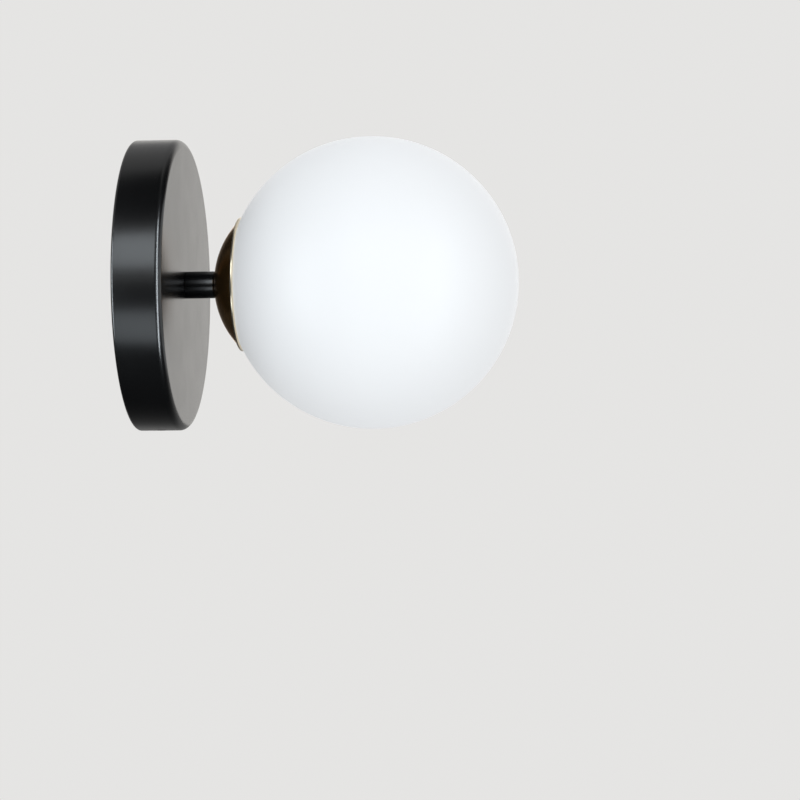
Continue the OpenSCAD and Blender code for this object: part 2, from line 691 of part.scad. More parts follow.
// Brass clamps that hang under the core, one strap to each rivet
module holder_terminals() color([0.8, 0.68, 0.38]) outward() for (side = [-1, 1]) {
    strap_from = side < 0 ? -terminal_at - terminal_w / 2 : terminal_at - terminal_w / 2;
    strap_to = side < 0 ? rivet_head_r : shell_rivet_x + rivet_head_r;
    rivet_x = side < 0 ? 0 : shell_rivet_x;
    difference() {
        union() {
            translate([side * terminal_at - terminal_w / 2, -terminal_w / 2, core_at - terminal_h])
                cube([terminal_w, terminal_w, terminal_h]);
            translate([strap_from, -terminal_w / 2, core_at - terminal_strap])
                cube([strap_to - strap_from, terminal_w, terminal_strap]);
        }
        translate([side * terminal_at, 0, core_at - terminal_h - cut])
            cylinder(r = lead_r + thread_gap, h = cut + terminal_h - terminal_strap, $fn = 48);
        translate([rivet_x, 0, core_at - terminal_strap - cut])
            cylinder(r = rivet_r + thread_gap, h = terminal_strap + 2 * cut, $fn = 48);
        translate([side * terminal_at, 0, core_at - terminal_h / 2 - terminal_strap / 2]) rotate([90, 0, 0])
            cylinder(r = 0.8 + thread_gap, h = terminal_w, $fn = 48);
    }
}

// Small screws that press on the leads in the lampholder
module holder_terminal_screws() color([0.78, 0.79, 0.8]) outward() for (side = [-1, 1])
    translate([side * terminal_at, -terminal_w / 2, core_at - terminal_h / 2 - terminal_strap / 2])
        rotate([-90, 0, 0]) cheese_screw(1.3, 1, 0.8, terminal_w / 2 - lead_r - thread_gap);

// Rivets from the clamps through the core to the shell and the spring leaf
module holder_rivets() color([0.82, 0.72, 0.44]) outward() for (x = [0, shell_rivet_x]) {
    from = core_at - terminal_strap - rivet_head_t;
    translate([x, 0, from]) {
        cylinder(r = rivet_head_r, h = rivet_head_t, $fn = 48);
        cylinder(r = rivet_r, h = core_top + contact_t - from, $fn = 48);
    }
    translate([x, 0, core_top + contact_t]) cylinder(r = rivet_head_r, h = rivet_head_t, $fn = 48);
}

// Contact at the foot of the bulb
module bulb_contact() color([0.75, 0.76, 0.77]) outward() rotate_extrude() {
    dome = bulb_button_r * 1.4;
    intersection() {
        translate([0, bulb_at + dome]) circle(dome, $fn = 64);
        translate([0, bulb_at]) square([bulb_button_r, bulb_button_t]);
    }
}

// Insulator between the bulb's contact and its shell
module bulb_insulator() color([0.1, 0.1, 0.11]) outward() rotate_extrude()
    polygon([[0, bulb_at + bulb_button_t], [bulb_button_r + 0.9, bulb_at + bulb_button_t],
        [bulb_plug_r, bulb_shell_at - 0.4], [bulb_plug_r, bulb_shell_at + 1], [0, bulb_shell_at + 1]]);

// Threaded shell of the bulb
module bulb_shell() color([0.78, 0.79, 0.8]) outward() rotate_extrude() difference() {
    union() {
        translate([0, bulb_shell_at]) square([bulb_crest_r - 0.6, bulb_shell_len]);
        for (turn = [0 : 4]) translate([bulb_crest_r - 0.8, bulb_shell_at + 1.6 + turn * bulb_pitch])
            circle(0.8, $fn = 32);
    }
    translate([-3 * bulb_crest_r, bulb_shell_at - cut])
        square([3 * bulb_crest_r + bulb_shell_inner_r, bulb_shell_len + 2 * cut]);
}

// Plastic body between the shell and the opal cover
module bulb_body() color([0.93, 0.93, 0.92]) outward() rotate_extrude() {
    foot = bulb_crest_r + 0.85;
    shoulder = bulb_cover_at - bulb_shoulder;
    polygon([[bulb_plug_r, bulb_body_at - bulb_plug], [bulb_plug_r, bulb_body_at], [foot, bulb_body_at],
        [foot + 0.6, bulb_body_at + 1.5], [bulb_top_r - 0.4, shoulder], [bulb_top_r, bulb_cover_at],
        [bulb_top_r - bulb_body_t, bulb_cover_at], [bulb_top_r - bulb_body_t, led_board_at],
        [bulb_top_r - 2 * bulb_body_t, led_board_at], [bulb_top_r - 2 * bulb_body_t, shoulder - 1],
        [bulb_plug_r - 0.4, bulb_body_at + 2], [bulb_plug_r - 1, bulb_body_at],
        [bulb_plug_r - 1, bulb_body_at - bulb_plug]]);
}

// Driver board that stands in the bulb's body, with its capacitor and coil
module bulb_driver() color([0.2, 0.45, 0.25]) outward() {
    w = 8.4;
    t = 1.2;
    driver_foot = 3;
    from = bulb_shell_at + driver_foot;
    to = led_board_at - face_gap;
    capacitor_r = 2.6;
    capacitor_len = 9;
    coil_w = 4;
    coil_t = 2;
    coil_len = 7;
    parts_at = (bulb_body_at + led_board_at) / 2;
    translate([-t / 2, -w / 2, from]) cube([t, w, to - from]);
    translate([t / 2 + capacitor_r - 0.2, 0, parts_at - capacitor_len / 2])
        cylinder(r = capacitor_r, h = capacitor_len, $fn = 32);
    translate([-t / 2 - coil_t, -coil_w / 2, parts_at - coil_len / 2])
        cube([coil_t + t / 2, coil_w, coil_len]);
}

// Round board in the mouth of the body, with its light-emitting diodes
module bulb_led_board() color([0.9, 0.9, 0.86]) outward() {
    chip = 2.8;
    chip_t = 0.7;
    chip_r = 8.5;
    sunk = 0.1;
    translate([0, 0, led_board_at]) cylinder(r = bulb_top_r - bulb_body_t - face_gap, h = led_board_t);
    for (i = [0 : 7]) rotate(i * 45)
        translate([chip_r - chip / 2, -chip / 2, led_board_at + led_board_t - sunk])
            cube([chip, chip, chip_t + sunk]);
}

// Section of a candle-shaped cover, thinner all round by the given amount
module candle(inset) intersection() {
    translate([bulb_r - bulb_arc_r, bulb_widest]) circle(bulb_arc_r - inset, $fn = 240);
    translate([0, bulb_widest]) circle(bulb_tip - bulb_widest - inset, $fn = 180);
    translate([0, bulb_cover_at - cut]) square([bulb_d, bulb_len]);
}

module bulb_cover() color([0.97, 0.97, 0.96]) outward() rotate_extrude() difference() {
    candle(0);
    candle(bulb_wall);
    translate([0, bulb_cover_at - 2 * cut]) square([bulb_d, 2 * cut]);
}

// Three-pole block, its wires along X and its screws towards the wall
module terminal_block() color([0.88, 0.87, 0.84]) outward() difference() {
    translate([block_reach, -block_w / 2, block_back]) cube([block_len, block_w, block_depth]);
    for (y = poles) {
        translate([block_reach - cut, y, wire_at]) rotate([0, 90, 0])
            cylinder(r = sleeve_r + thread_gap, h = block_len + 2 * cut);
        for (x = [clamp_in, clamp_out]) translate([x, y, block_back - cut])
            cylinder(r = clamp_head_r + hole_gap, h = wire_at - block_back + cut);
    }
    translate([block_mid, block_screw_y, block_back - cut]) {
        cylinder(r = block_screw_r + hole_gap, h = block_depth + 2 * cut);
        cylinder(r = block_screw_head_r + hole_gap, h = block_screw_sunk + cut);
    }
    for (y = [-block_w / 2, block_w / 2]) translate([block_mid, y, block_back - cut])
        cylinder(r = block_notch_r, h = block_depth + 2 * cut, $fn = 48);
}

// Brass sleeves, each with a blind hole for a wire at either end
module terminal_sleeves() color([0.8, 0.68, 0.38]) outward() for (y = poles)
    translate([block_reach + sleeve_inset, y, wire_at]) difference() {
        rotate([0, 90, 0]) cylinder(r = sleeve_r, h = sleeve_l);
        for (x = [-cut, sleeve_l - wire_depth]) translate([x, 0, 0]) rotate([0, 90, 0])
            cylinder(r = wire_r, h = wire_depth + cut);
        for (x = [wire_depth / 2, sleeve_l - wire_depth / 2]) translate([x, 0, -sleeve_r - cut])
            cylinder(r = clamp_r + thread_gap, h = sleeve_r + cut, $fn = 48);
    }

// Screws over the wires: those on the lamp's side are down, those for the house cable are up
module terminal_screws() color([0.76, 0.77, 0.78]) outward() for (y = poles) {
    tip_in = wire_at - ferrule_r - face_gap;
    tip_out = wire_at - wire_r - face_gap;
    for (end = [[clamp_in, tip_in], [clamp_out, tip_out]]) translate([end[0], y, end[1] - clamp_len])
        cheese_screw(clamp_head_r, clamp_head_t, clamp_r, clamp_len);
}

// Screw that holds the block to the carrier
module block_screw() color([0.76, 0.77, 0.78]) outward()
    translate([block_mid, block_screw_y, block_back + block_screw_sunk])
        cheese_screw(block_screw_head_r, block_screw_head_t, block_screw_r,
            block_depth - block_screw_sunk + carrier_t - face_gap);

// Screw that holds the earth lead's lug to the carrier
module earth_screw() color([0.8, 0.68, 0.36]) outward()
    translate([earth_x, earth_y, carrier_back - earth_washer_t - lug_t])
        cheese_screw(earth_head_r, earth_head_t, earth_screw_r,
            earth_washer_t + lug_t + carrier_t - face_gap);

module earth_washer() color([0.75, 0.76, 0.78]) outward()
    translate([earth_x, earth_y, carrier_back - earth_washer_t])
        toothed_washer(earth_washer_r, earth_screw_r + hole_gap, earth_washer_t, 10);

// Ring lug with its barrel up the wall
module earth_lug() color([0.78, 0.79, 0.8]) outward() {
    ring_r = 3.8;
    difference() {
        union() {
            translate([earth_x, earth_y, lug_at - lug_t / 2]) cylinder(r = ring_r, h = lug_t);
            translate([earth_x - lug_barrel_r, earth_y, lug_at - lug_t / 2])
                cube([2 * lug_barrel_r, lug_len - 3.6, lug_t]);
            translate([earth_x, earth_y + lug_len - 4, lug_wire]) rotate([-90, 0, 0])
                cylinder(r = lug_barrel_r, h = 3.6);
        }
        translate([earth_x, earth_y, lug_at - 2]) cylinder(r = earth_screw_r + hole_gap, h = 4);
        translate([earth_x, earth_y + lug_len - 3 - face_gap, lug_wire]) rotate([-90, 0, 0])
            cylinder(r = lead_r + thread_gap, h = 4);
    }
}

module lead_live() color([0.42, 0.24, 0.14]) outward() wire(live_route, lead_r, [0, 1, 0.05]);

module lead_neutral() color([0.2, 0.35, 0.62]) outward() wire(neutral_route, lead_r, [0, 1, 0.05]);

module lead_earth() color([0.55, 0.7, 0.2]) outward() wire(earth_route, lead_r, [0.1, 0, 1]);

// Crimped sleeves on the ends of the leads in the terminal block
module lead_ferrules() color([0.8, 0.81, 0.82]) outward() for (y = poles)
    translate([wire_in - ferrule_len, y, wire_at]) rotate([0, 90, 0])
        ring(ferrule_r, lead_r + thread_gap, 0, ferrule_len);

wall_bracket();
bracket_earth_screw();
bracket_earth_washer();
canopy();
rim_nuts();
rim_screw_top();
rim_screw_bottom();
terminal_carrier();
rear_lock_washer();
rear_nut();
threaded_tube();
tube_bush();
spacer();
cup();
front_lock_washer();
front_nut();
thread_collar();
gasket();
globe();
holder_cap();
holder_core();
holder_sleeve();
holder_shell();
holder_contact();
holder_terminals();
holder_terminal_screws();
holder_rivets();
bulb_contact();
bulb_insulator();
bulb_shell();
bulb_body();
bulb_driver();
bulb_led_board();
bulb_cover();
terminal_block();
terminal_sleeves();
terminal_screws();
block_screw();
earth_screw();
earth_washer();
earth_lug();
lead_live();
lead_neutral();
lead_earth();
lead_ferrules();
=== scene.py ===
# %% [markdown]
# # A globe wall lamp
# A round black canopy hides the wall bracket and the wiring. A short turned spacer carries a brass cup, and
# an opal glass ball screws into the cup and hides a lampholder with a candle bulb. Each step below says
# what a piece is on the real lamp, how it could be made, and why this way was chosen.

# %% Load the frame
import json
import math

import bmesh
import bpy
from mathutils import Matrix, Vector


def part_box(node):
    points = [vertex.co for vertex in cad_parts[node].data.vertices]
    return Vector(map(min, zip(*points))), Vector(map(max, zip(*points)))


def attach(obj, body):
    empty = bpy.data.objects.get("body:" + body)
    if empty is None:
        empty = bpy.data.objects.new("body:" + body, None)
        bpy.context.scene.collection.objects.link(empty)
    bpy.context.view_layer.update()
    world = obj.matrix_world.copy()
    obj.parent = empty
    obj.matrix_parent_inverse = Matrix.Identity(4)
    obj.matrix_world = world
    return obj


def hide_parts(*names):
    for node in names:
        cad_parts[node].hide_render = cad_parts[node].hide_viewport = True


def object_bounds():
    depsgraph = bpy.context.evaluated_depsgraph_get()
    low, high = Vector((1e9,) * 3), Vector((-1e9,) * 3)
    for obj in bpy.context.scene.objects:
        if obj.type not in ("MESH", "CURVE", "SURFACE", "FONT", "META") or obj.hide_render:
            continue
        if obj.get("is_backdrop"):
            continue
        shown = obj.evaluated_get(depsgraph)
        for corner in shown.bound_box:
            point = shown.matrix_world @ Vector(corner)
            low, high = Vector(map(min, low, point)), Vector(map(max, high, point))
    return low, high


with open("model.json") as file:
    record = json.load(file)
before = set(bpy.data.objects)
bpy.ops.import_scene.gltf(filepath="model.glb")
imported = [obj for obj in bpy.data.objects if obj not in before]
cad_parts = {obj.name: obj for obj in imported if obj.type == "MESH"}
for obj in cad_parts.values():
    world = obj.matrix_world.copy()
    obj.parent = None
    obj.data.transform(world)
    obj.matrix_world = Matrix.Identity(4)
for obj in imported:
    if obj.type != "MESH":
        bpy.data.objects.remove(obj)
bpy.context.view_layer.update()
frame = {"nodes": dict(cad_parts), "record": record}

# %% [markdown]
# ## The camera
# The photograph was taken almost from the side, a little in front of the lamp and a little below it, with a
# long lens. The camera is made first, so that every piece can be judged in the view that it has to match.

# %% The camera
camera_place = Vector((-1.919, -0.3708, -0.2116))
camera_aim = Vector((0.0106, -0.1263, -0.0557))
lens_mm = 182.86

bpy.ops.object.camera_add(location=camera_place)
camera = bpy.context.object
camera.rotation_euler = (camera_aim - camera_place).to_track_quat("-Z", "Y").to_euler()
camera.data.lens = lens_mm
camera.data.clip_end = 40
bpy.context.scene.camera = camera
bpy.context.scene.view_settings.view_transform = "Standard"
print("The camera stands", round((camera_aim - camera_place).length, 2), "m away")

# %% [markdown]
# ## Building blocks for materials
# Every finish is one Principled shader with procedural nodes, and the floor and the backdrop are built from
# nodes too. One helper makes the material, one adds a node and fills its inputs by name, and one joins
# nodes.

# %% Building blocks for materials
def shader_of(material):
    return material.node_tree.nodes["Principled BSDF"]


def plain(name, colour, **inputs):
    """A material with one Principled shader, whose other inputs are set by name."""
    material = bpy.data.materials.new(name)
    material.use_nodes = True
    shader_of(material).inputs["Base Color"].default_value = (*colour, 1)
    for key, value in inputs.items():
        shader_of(material).inputs[key.replace("_", " ")].default_value = value
    return material


def node(owner, kind, **settings):
    """Adds a node to a material or a world. A setting fills the input of its name, or is the node's own."""
    made = owner.node_tree.nodes.new("ShaderNode" + kind)
    for key, value in settings.items():
        label = key.replace("_", " ")
        if label in made.inputs:
            made.inputs[label].default_value = value
        else:
            setattr(made, key, value)
    return made


def join(owner, source, output, target, socket):
    """Leads one node's output to another's input."""
    owner.node_tree.links.new(source.outputs[output], target.inputs[socket])


def colour_ramp(owner, stops):
    """A ramp through these (position, colour) stops."""
    made = node(owner, "ValToRGB")
    first, last = made.color_ramp.elements
    first.position, first.color = stops[0]
    last.position, last.color = stops[-1]
    for position, colour in stops[1:-1]:
        made.color_ramp.elements.new(position).color = colour
    return made

# %% [markdown]
# ## The studio
# A pale floor far below keeps the lamp's shadow and lets a camera look up at the lamp. The backdrop is the
# world. The camera sees it plain and pale. Glossy surfaces mirror a real studio: pale all round, dark
# overhead and dark in front of the lamp, where the room isn't lit. All other rays get an even grey fill.

# %% The floor
mm = 0.001
floor_level = -1.6
floor_size = 60
floor_colour = (0.74, 0.74, 0.73)
mirrored_floor_colour = (0.05, 0.05, 0.05, 1)
floor_lift = 0.72
glow_from, glow_full = 0.8, 4.5
far_floor_glow = 0.35

bpy.ops.mesh.primitive_plane_add(size=floor_size, location=(0, 0, floor_level))
floor = bpy.context.object
floor.name = "studio_floor"
floor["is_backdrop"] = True

floor_paint = plain("studio_floor", floor_colour, Roughness=0.7, Emission_Color=(*floor_colour, 1))
# Mirrored rays see the floor near black, a painted shade for the rim's lower side to reflect, with a painted
# glow that grows along X; the camera sees it evenly pale
path = node(floor_paint, "LightPath")
choice = node(floor_paint, "MixRGB", Color1=(*floor_colour, 1), Color2=mirrored_floor_colour)
join(floor_paint, path, "Is Glossy Ray", choice, "Fac")
join(floor_paint, choice, "Color", shader_of(floor_paint), "Base Color")
sideways = node(floor_paint, "SeparateXYZ")
join(floor_paint, node(floor_paint, "TexCoord"), "Object", sideways, "Vector")
far = node(floor_paint, "MapRange", From_Min=glow_from, From_Max=glow_full, To_Max=far_floor_glow)
join(floor_paint, sideways, "X", far, "Value")
mirrored = node(floor_paint, "Math", operation="MULTIPLY")
join(floor_paint, far, "Result", mirrored, 0)
join(floor_paint, path, "Is Glossy Ray", mirrored, 1)
lift = node(floor_paint, "Math", operation="MULTIPLY_ADD")
lift.inputs[1].default_value = floor_lift
join(floor_paint, path, "Is Camera Ray", lift, 0)
join(floor_paint, mirrored, "Value", lift, 2)
join(floor_paint, lift, "Value", shader_of(floor_paint), "Emission Strength")
floor.data.materials.append(floor_paint)
print("The floor lies", -floor_level, "m below the lamp's middle")

# %% The backdrop
backdrop_colour = (0.785, 0.78, 0.77, 1)
mirrored_backdrop_colour = (1.0, 0.98, 0.945, 1)
half_way_colour = (0.42, 0.42, 0.42, 1)
ceiling_colour = (0.03, 0.03, 0.032, 1)
fill_colour = (0.25, 0.255, 0.265, 1)
ceiling_tilt = math.radians(22)
unlit_from, unlit_to = -0.3, -0.6
unlit_share = 0.02

world = bpy.data.worlds.new("studio")
world.use_nodes = True
bpy.context.scene.world = world
direction = node(world, "TexCoord")
tilted = node(world, "Mapping", Rotation=(0, ceiling_tilt, 0))
upward = node(world, "SeparateXYZ")
room = colour_ramp(world, ((0, mirrored_backdrop_colour), (0.25, half_way_colour), (0.84, half_way_colour),
                           (0.92, ceiling_colour)))
forward = node(world, "SeparateXYZ")
unlit = node(world, "MapRange", From_Min=unlit_to, From_Max=unlit_from, To_Min=unlit_share)
mirrored = node(world, "VectorMath", operation="SCALE")
path = node(world, "LightPath")
seen = node(world, "Math", operation="MAXIMUM")
glossy_choice = node(world, "MixRGB", Color1=fill_colour)
camera_choice = node(world, "MixRGB", Color2=backdrop_colour)
for source, output, target, socket in (
        (direction, "Generated", tilted, "Vector"),
        (tilted, "Vector", upward, "Vector"),
        (upward, "Z", room, "Fac"),
        (direction, "Generated", forward, "Vector"),
        (forward, "Y", unlit, "Value"),
        (room, "Color", mirrored, "Vector"),
        (unlit, "Result", mirrored, "Scale"),
        (mirrored, "Vector", glossy_choice, "Color2"),
        (path, "Is Glossy Ray", glossy_choice, "Fac"),
        (path, "Is Camera Ray", seen, 0),
        (path, "Is Transmission Ray", seen, 1),
        (seen, "Value", camera_choice, "Fac"),
        (glossy_choice, "Color", camera_choice, "Color1"),
        (camera_choice, "Color", world.node_tree.nodes["Background"], "Color")):
    join(world, source, output, target, socket)

# %% [markdown]
# ## The lights
# The black rim mirrors two soft bands, one above and one below the middle, and the roundings at its edges a
# thin bright line each. So there are two wide softboxes on the camera's side, one high and one low, and two
# narrow strips, one at either side. Area lights give such soft edges, and a power in watts per area keeps
# each one's brightness the same when its size changes.

# %% The softboxes
lamp_middle = Vector((0, -0.08, 0))
light_colour = (0.86, 0.94, 1)
softbox_away = 1.6


def softbox(name, elevation, turn, width, height, brightness):
    """Adds an area light that faces the lamp; turn is measured from the left, -X, towards the front, -Y."""
    up, side = math.radians(elevation), math.radians(turn)
    place = Vector((-math.cos(side) * math.cos(up), -math.sin(side) * math.cos(up), math.sin(up)))
    place *= softbox_away
    bpy.ops.object.light_add(type="AREA", location=lamp_middle + place)
    light = bpy.context.object
    light.name = name
    light.rotation_euler = (-place).to_track_quat("-Z", "Y").to_euler()
    light.data.shape = "RECTANGLE"
    light.data.size = width
    light.data.size_y = height
    light.data.energy = brightness * math.pi * width * height
    light.data.color = light_colour
    light.visible_camera = False
    print(name, "has", round(light.data.energy, 1), "W")
    return light


softbox("upper_softbox", 21, 0, 1.4, 0.74, 2.9)
softbox("lower_softbox", -38, 0, 1.4, 0.72, 1.77)
for strip in (softbox("front_strip", -5, 62, 0.3, 2.8, 20), softbox("rear_strip", -5, -50, 0.5, 1.8, 12)):
    strip.visible_diffuse = False

# %% [markdown]
# ## Helpers for modelling
# Every piece is modelled with its own axis along Z, at its real distance from the wall, and is turned to
# point out of the wall when it is done. Operators act on whatever is selected, so a helper leaves one piece
# selected, and another picks vertices, edges or faces by a test on their place.

# %% Selecting and shaping
def alone(piece):
    """Leaves one piece selected and active."""
    bpy.ops.object.select_all(action="DESELECT")
    piece.select_set(True)
    bpy.context.view_layer.objects.active = piece


def edit(piece, kind, action="DESELECT"):
    """Opens a piece in edit mode, in VERT, EDGE or FACE select mode, with nothing or with all selected."""
    alone(piece)
    bpy.ops.object.mode_set(mode="EDIT")
    bpy.ops.mesh.select_mode(type=kind)
    bpy.ops.mesh.select_all(action=action)


def done():
    """Leaves edit mode."""
    bpy.ops.object.mode_set(mode="OBJECT")


def pull(*way):
    """In edit mode, extrudes the selected edges by x, y and z."""
    bpy.ops.mesh.extrude_edges_move(TRANSFORM_OT_translate={"value": way})


def pick(piece, test, kind=None):
    """In edit mode, selects what passes the test, of the kind that the select mode is in or is set to."""
    if kind:
        bpy.ops.mesh.select_mode(type=kind)
    bpy.ops.mesh.select_all(action="DESELECT")
    mesh = bmesh.from_edit_mesh(piece.data)
    vertices, edges, _ = bpy.context.tool_settings.mesh_select_mode
    for item in mesh.verts if vertices else mesh.edges if edges else mesh.faces:
        if test(item):
            item.select_set(True)
    mesh.select_flush_mode()
    bmesh.update_edit_mesh(piece.data)


def round_off(piece, test, radius, segments):
    """In edit mode, rounds the edges that pass the test."""
    pick(piece, test, "EDGE")
    bpy.ops.mesh.bevel(offset=radius, segments=segments, affect="EDGES")


# The play or overlap between two faces that would otherwise lie in one place
hair = 0.05 * mm
same = 0.02 * mm


def near(a, b):
    """Whether two measures are the same, but for rounding."""
    return abs(a - b) < same


def ring_at(z):
    """A test for edges that lie round the Z axis at a height."""
    return lambda edge: all(near(vertex.co.z, z) for vertex in edge.verts)


def upright(edge):
    """Whether an edge climbs along the Z axis."""
    return not near(edge.verts[0].co.z, edge.verts[1].co.z)


def open_end(face):
    """Whether a face has more than four corners, as the flat ends of round bodies do."""
    return len(face.verts) > 4


def use(piece, kind, **settings):
    """Adds a modifier with these settings and applies it."""
    alone(piece)
    modifier = piece.modifiers.new(kind.title(), kind)
    for name, value in settings.items():
        setattr(modifier, name, value)
    bpy.ops.object.modifier_apply(modifier=modifier.name)

# %% Starting shapes
def add(primitive, stretch=(1, 1, 1), **settings):
    """Adds a primitive, stretches it, and puts its place, turn and size into its mesh."""
    bpy.ops.object.select_all(action="DESELECT")
    primitive(**settings)
    bpy.context.object.scale = stretch
    bpy.ops.object.transform_apply(location=True, rotation=True, scale=True)
    return bpy.context.object


def tidy_up(piece):
    """Merges doubles, closes open ends and turns all faces outwards."""
    edit(piece, "EDGE", "SELECT")
    bpy.ops.mesh.remove_doubles(threshold=0.001 * mm)
    bpy.ops.mesh.fill_holes(sides=0)
    bpy.ops.mesh.normals_make_consistent(inside=False)
    done()


def turned(sections, closed=True, vertices=96):
    """A round body drawn ring by ring: each (radius, distance) extrudes the last ring and scales it. A closed
    one ends on its first ring, and an open one gets a face at either end."""
    radius, distance = sections[0]
    piece = add(bpy.ops.mesh.primitive_circle_add, vertices=vertices, radius=radius,
                location=(0, 0, distance))
    edit(piece, "EDGE", "SELECT")
    for new_radius, new_distance in sections[1:] + (sections[:1] if closed else []):
        pull(0, 0, new_distance - distance)
        scale = new_radius / radius
        bpy.ops.transform.resize(value=(scale, scale, 1), center_override=(0, 0, new_distance))
        radius, distance = new_radius, new_distance
    done()
    tidy_up(piece)
    return piece


def ring(inner_r, outer_r, back, front, vertices=96):
    """A round sleeve or washer between two distances."""
    return turned([(inner_r, back), (outer_r, back), (outer_r, front), (inner_r, front)], vertices=vertices)


def rod(radius, middle, length, axis="Z", vertices=48):
    """A round bar or a drill along an axis."""
    turn = {"X": (0, math.pi / 2, 0), "Y": (math.pi / 2, 0, 0), "Z": (0, 0, 0)}[axis]
    return add(bpy.ops.mesh.primitive_cylinder_add, vertices=vertices, radius=radius, depth=length,
               location=middle, rotation=turn)


def bar(radius, back, front, vertices=48):
    """A round bar between two distances."""
    return rod(radius, (0, 0, (back + front) / 2), front - back, vertices=vertices)


def block(low, high):
    """A box between two corners."""
    low, high = Vector(low), Vector(high)
    return add(bpy.ops.mesh.primitive_cube_add, stretch=high - low, size=1, location=(low + high) / 2)

# %% Threads and sheets
def ridge(radius, height, width, pitch, start, turns, steps=64):
    """A thread: a rounded ridge that climbs round the Z axis, drawn by a Screw modifier."""
    piece = add(bpy.ops.mesh.primitive_circle_add, stretch=(height, width / 2, 1), vertices=10, radius=1,
                location=(radius, 0, start), rotation=(math.pi / 2, 0, 0))
    use(piece, "SCREW", axis="Z", angle=2 * math.pi, screw_offset=pitch, iterations=turns, steps=steps,
        render_steps=steps)
    tidy_up(piece)
    return piece


def wall(piece, thickness):
    """Gives an open skin its thickness, towards its inside."""
    use(piece, "SOLIDIFY", thickness=thickness, offset=-1, use_even_offset=True)


def sheet(piece, thickness):
    """Gives a folded sheet its thickness, towards the inside of its folds."""
    edit(piece, "FACE", "SELECT")
    bpy.ops.mesh.normals_make_consistent(inside=False)
    done()
    wall(piece, thickness)
    tidy_up(piece)

# %% Combining and placing
def cut(piece, cutter, operation="DIFFERENCE"):
    """Takes the cutter out of a piece, or melts it into it, and removes the cutter."""
    use(piece, "BOOLEAN", object=cutter, operation=operation, solver="EXACT")
    bpy.data.objects.remove(cutter, do_unlink=True)


def soften(piece, width=0.15 * mm, segments=2, angle=35):
    """Breaks the sharp edges of a piece, as tools and moulds do."""
    use(piece, "BEVEL", width=width, segments=segments, limit_method="ANGLE", angle_limit=math.radians(angle))
    return piece


def joined(pieces):
    """Makes one object of several."""
    alone(pieces[0])
    for piece in pieces:
        piece.select_set(True)
    bpy.ops.object.join()
    return bpy.context.object


def moved(piece, to=(0, 0, 0), turn=(0, 0, 0)):
    """Turns a piece about the origin, then moves it."""
    alone(piece)
    piece.rotation_euler = turn
    piece.location = to
    bpy.ops.object.transform_apply(location=True, rotation=True, scale=True)
    return piece


def copies(piece, places, turns=None):
    """Copies of a piece, one at each place, joined; the piece itself is used up."""
    made = []
    for i, place in enumerate(places):
        alone(piece)
        bpy.ops.object.duplicate()
        made.append(moved(bpy.context.object, place, turns[i] if turns else (0, 0, 0)))
    bpy.data.objects.remove(piece, do_unlink=True)
    return joined(made)

# %% Finishing a piece
body_of = {name: body for body, names in frame["record"]["behaviour"]["bodies"].items() for name in names}
slot_of = {part["node"]: part["material_slot"] for part in frame["record"]["subparts"]}
finish_of = {}


def span(name):
    """Distance from the wall to the near and far end of a CAD node, and how far it reaches from the axis."""
    low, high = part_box(name)
    return -high.y, -low.y, max(high.x, high.z)


def middle_of(name):
    """Where the middle of a CAD node stands, to the right and up, and half its width."""
    low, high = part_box(name)
    return (low.x + high.x) / 2, (low.z + high.z) / 2, (high.x - low.x) / 2


def hand_over(piece, name, angle=35, folded=False):
    """Turns a piece out of the wall, smooths it, names it and lets it stand for the CAD node of that name. On
    a folded sheet the large faces set the normals, so that its flats look flat right up to the folds."""
    moved(piece, turn=(math.pi / 2, 0, 0))
    bpy.ops.object.shade_smooth_by_angle(angle=math.radians(angle))
    if folded:
        use(piece, "WEIGHTED_NORMAL", keep_sharp=True)
    piece.name = name + "_detail"
    piece.data.name = piece.name
    piece.data.materials.clear()
    piece.data.materials.append(finish_of[slot_of[name]])
    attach(piece, body_of[name])
    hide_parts(name)
    corners = [Vector(corner) for corner in piece.bound_box]
    off = max((a - b).length for a, b in zip((corners[0], corners[6]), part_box(name)))
    print(piece.name, "has", len(piece.data.polygons), "faces, its box is off by", round(1000 * off, 2), "mm")

# %% [markdown]
# ## Materials
# Each finish adds its own pattern on Object coordinates. The pieces stand at the origin, so one metre in
# the pattern is one metre on the lamp. A pattern may move the roughness, the colour or the surface itself.

# %% Patterns
def at_place(material, kind, stretch=(1, 1, 1), **settings):
    """Adds a node that reads the place on the piece, stretched along the axes."""
    mapping = node(material, "Mapping", Scale=stretch)
    join(material, node(material, "TexCoord"), "Object", mapping, "Vector")
    made = node(material, kind, **settings)
    join(material, mapping, "Vector", made, "Vector")
    return made


def noise(material, scale, detail=3.0):
    """A noise of so many lumps a metre."""
    return at_place(material, "TexNoise", Scale=scale, Detail=detail)


def finish(name, colour, low, high, lumps, **inputs):
    """The material of a slot. Its roughness wanders from low to high, in so many lumps a metre."""
    material = plain(name, colour, **inputs)
    between = node(material, "MapRange", From_Min=0.3, From_Max=0.7, To_Min=low, To_Max=high)
    join(material, noise(material, lumps), 0, between, "Value")
    join(material, between, "Result", shader_of(material), "Roughness")
    finish_of[name] = material
    return material


def vary_colour(material, pattern, first, second, low=0.35, high=0.65):
    """Lets a pattern move the colour between two values."""
    ramp = colour_ramp(material, ((low, (*first, 1)), (high, (*second, 1))))
    join(material, pattern, 0, ramp, "Fac")
    join(material, ramp, "Color", shader_of(material), "Base Color")


def raise_by(material, pattern, height):
    """Lets a pattern raise the surface by a height in metres."""
    bump = node(material, "Bump", Distance=height)
    join(material, pattern, 0, bump, "Height")
    join(material, bump, "Normal", shader_of(material), "Normal")

# %% [markdown]
# ### Black satin paint
# The canopy and the spacer are powder coated. The coat is almost black and mirrors large lights softly.
# Melted powder leaves a faint orange peel, far finer than a millimetre deep, and a few grains that didn't
# melt flat.

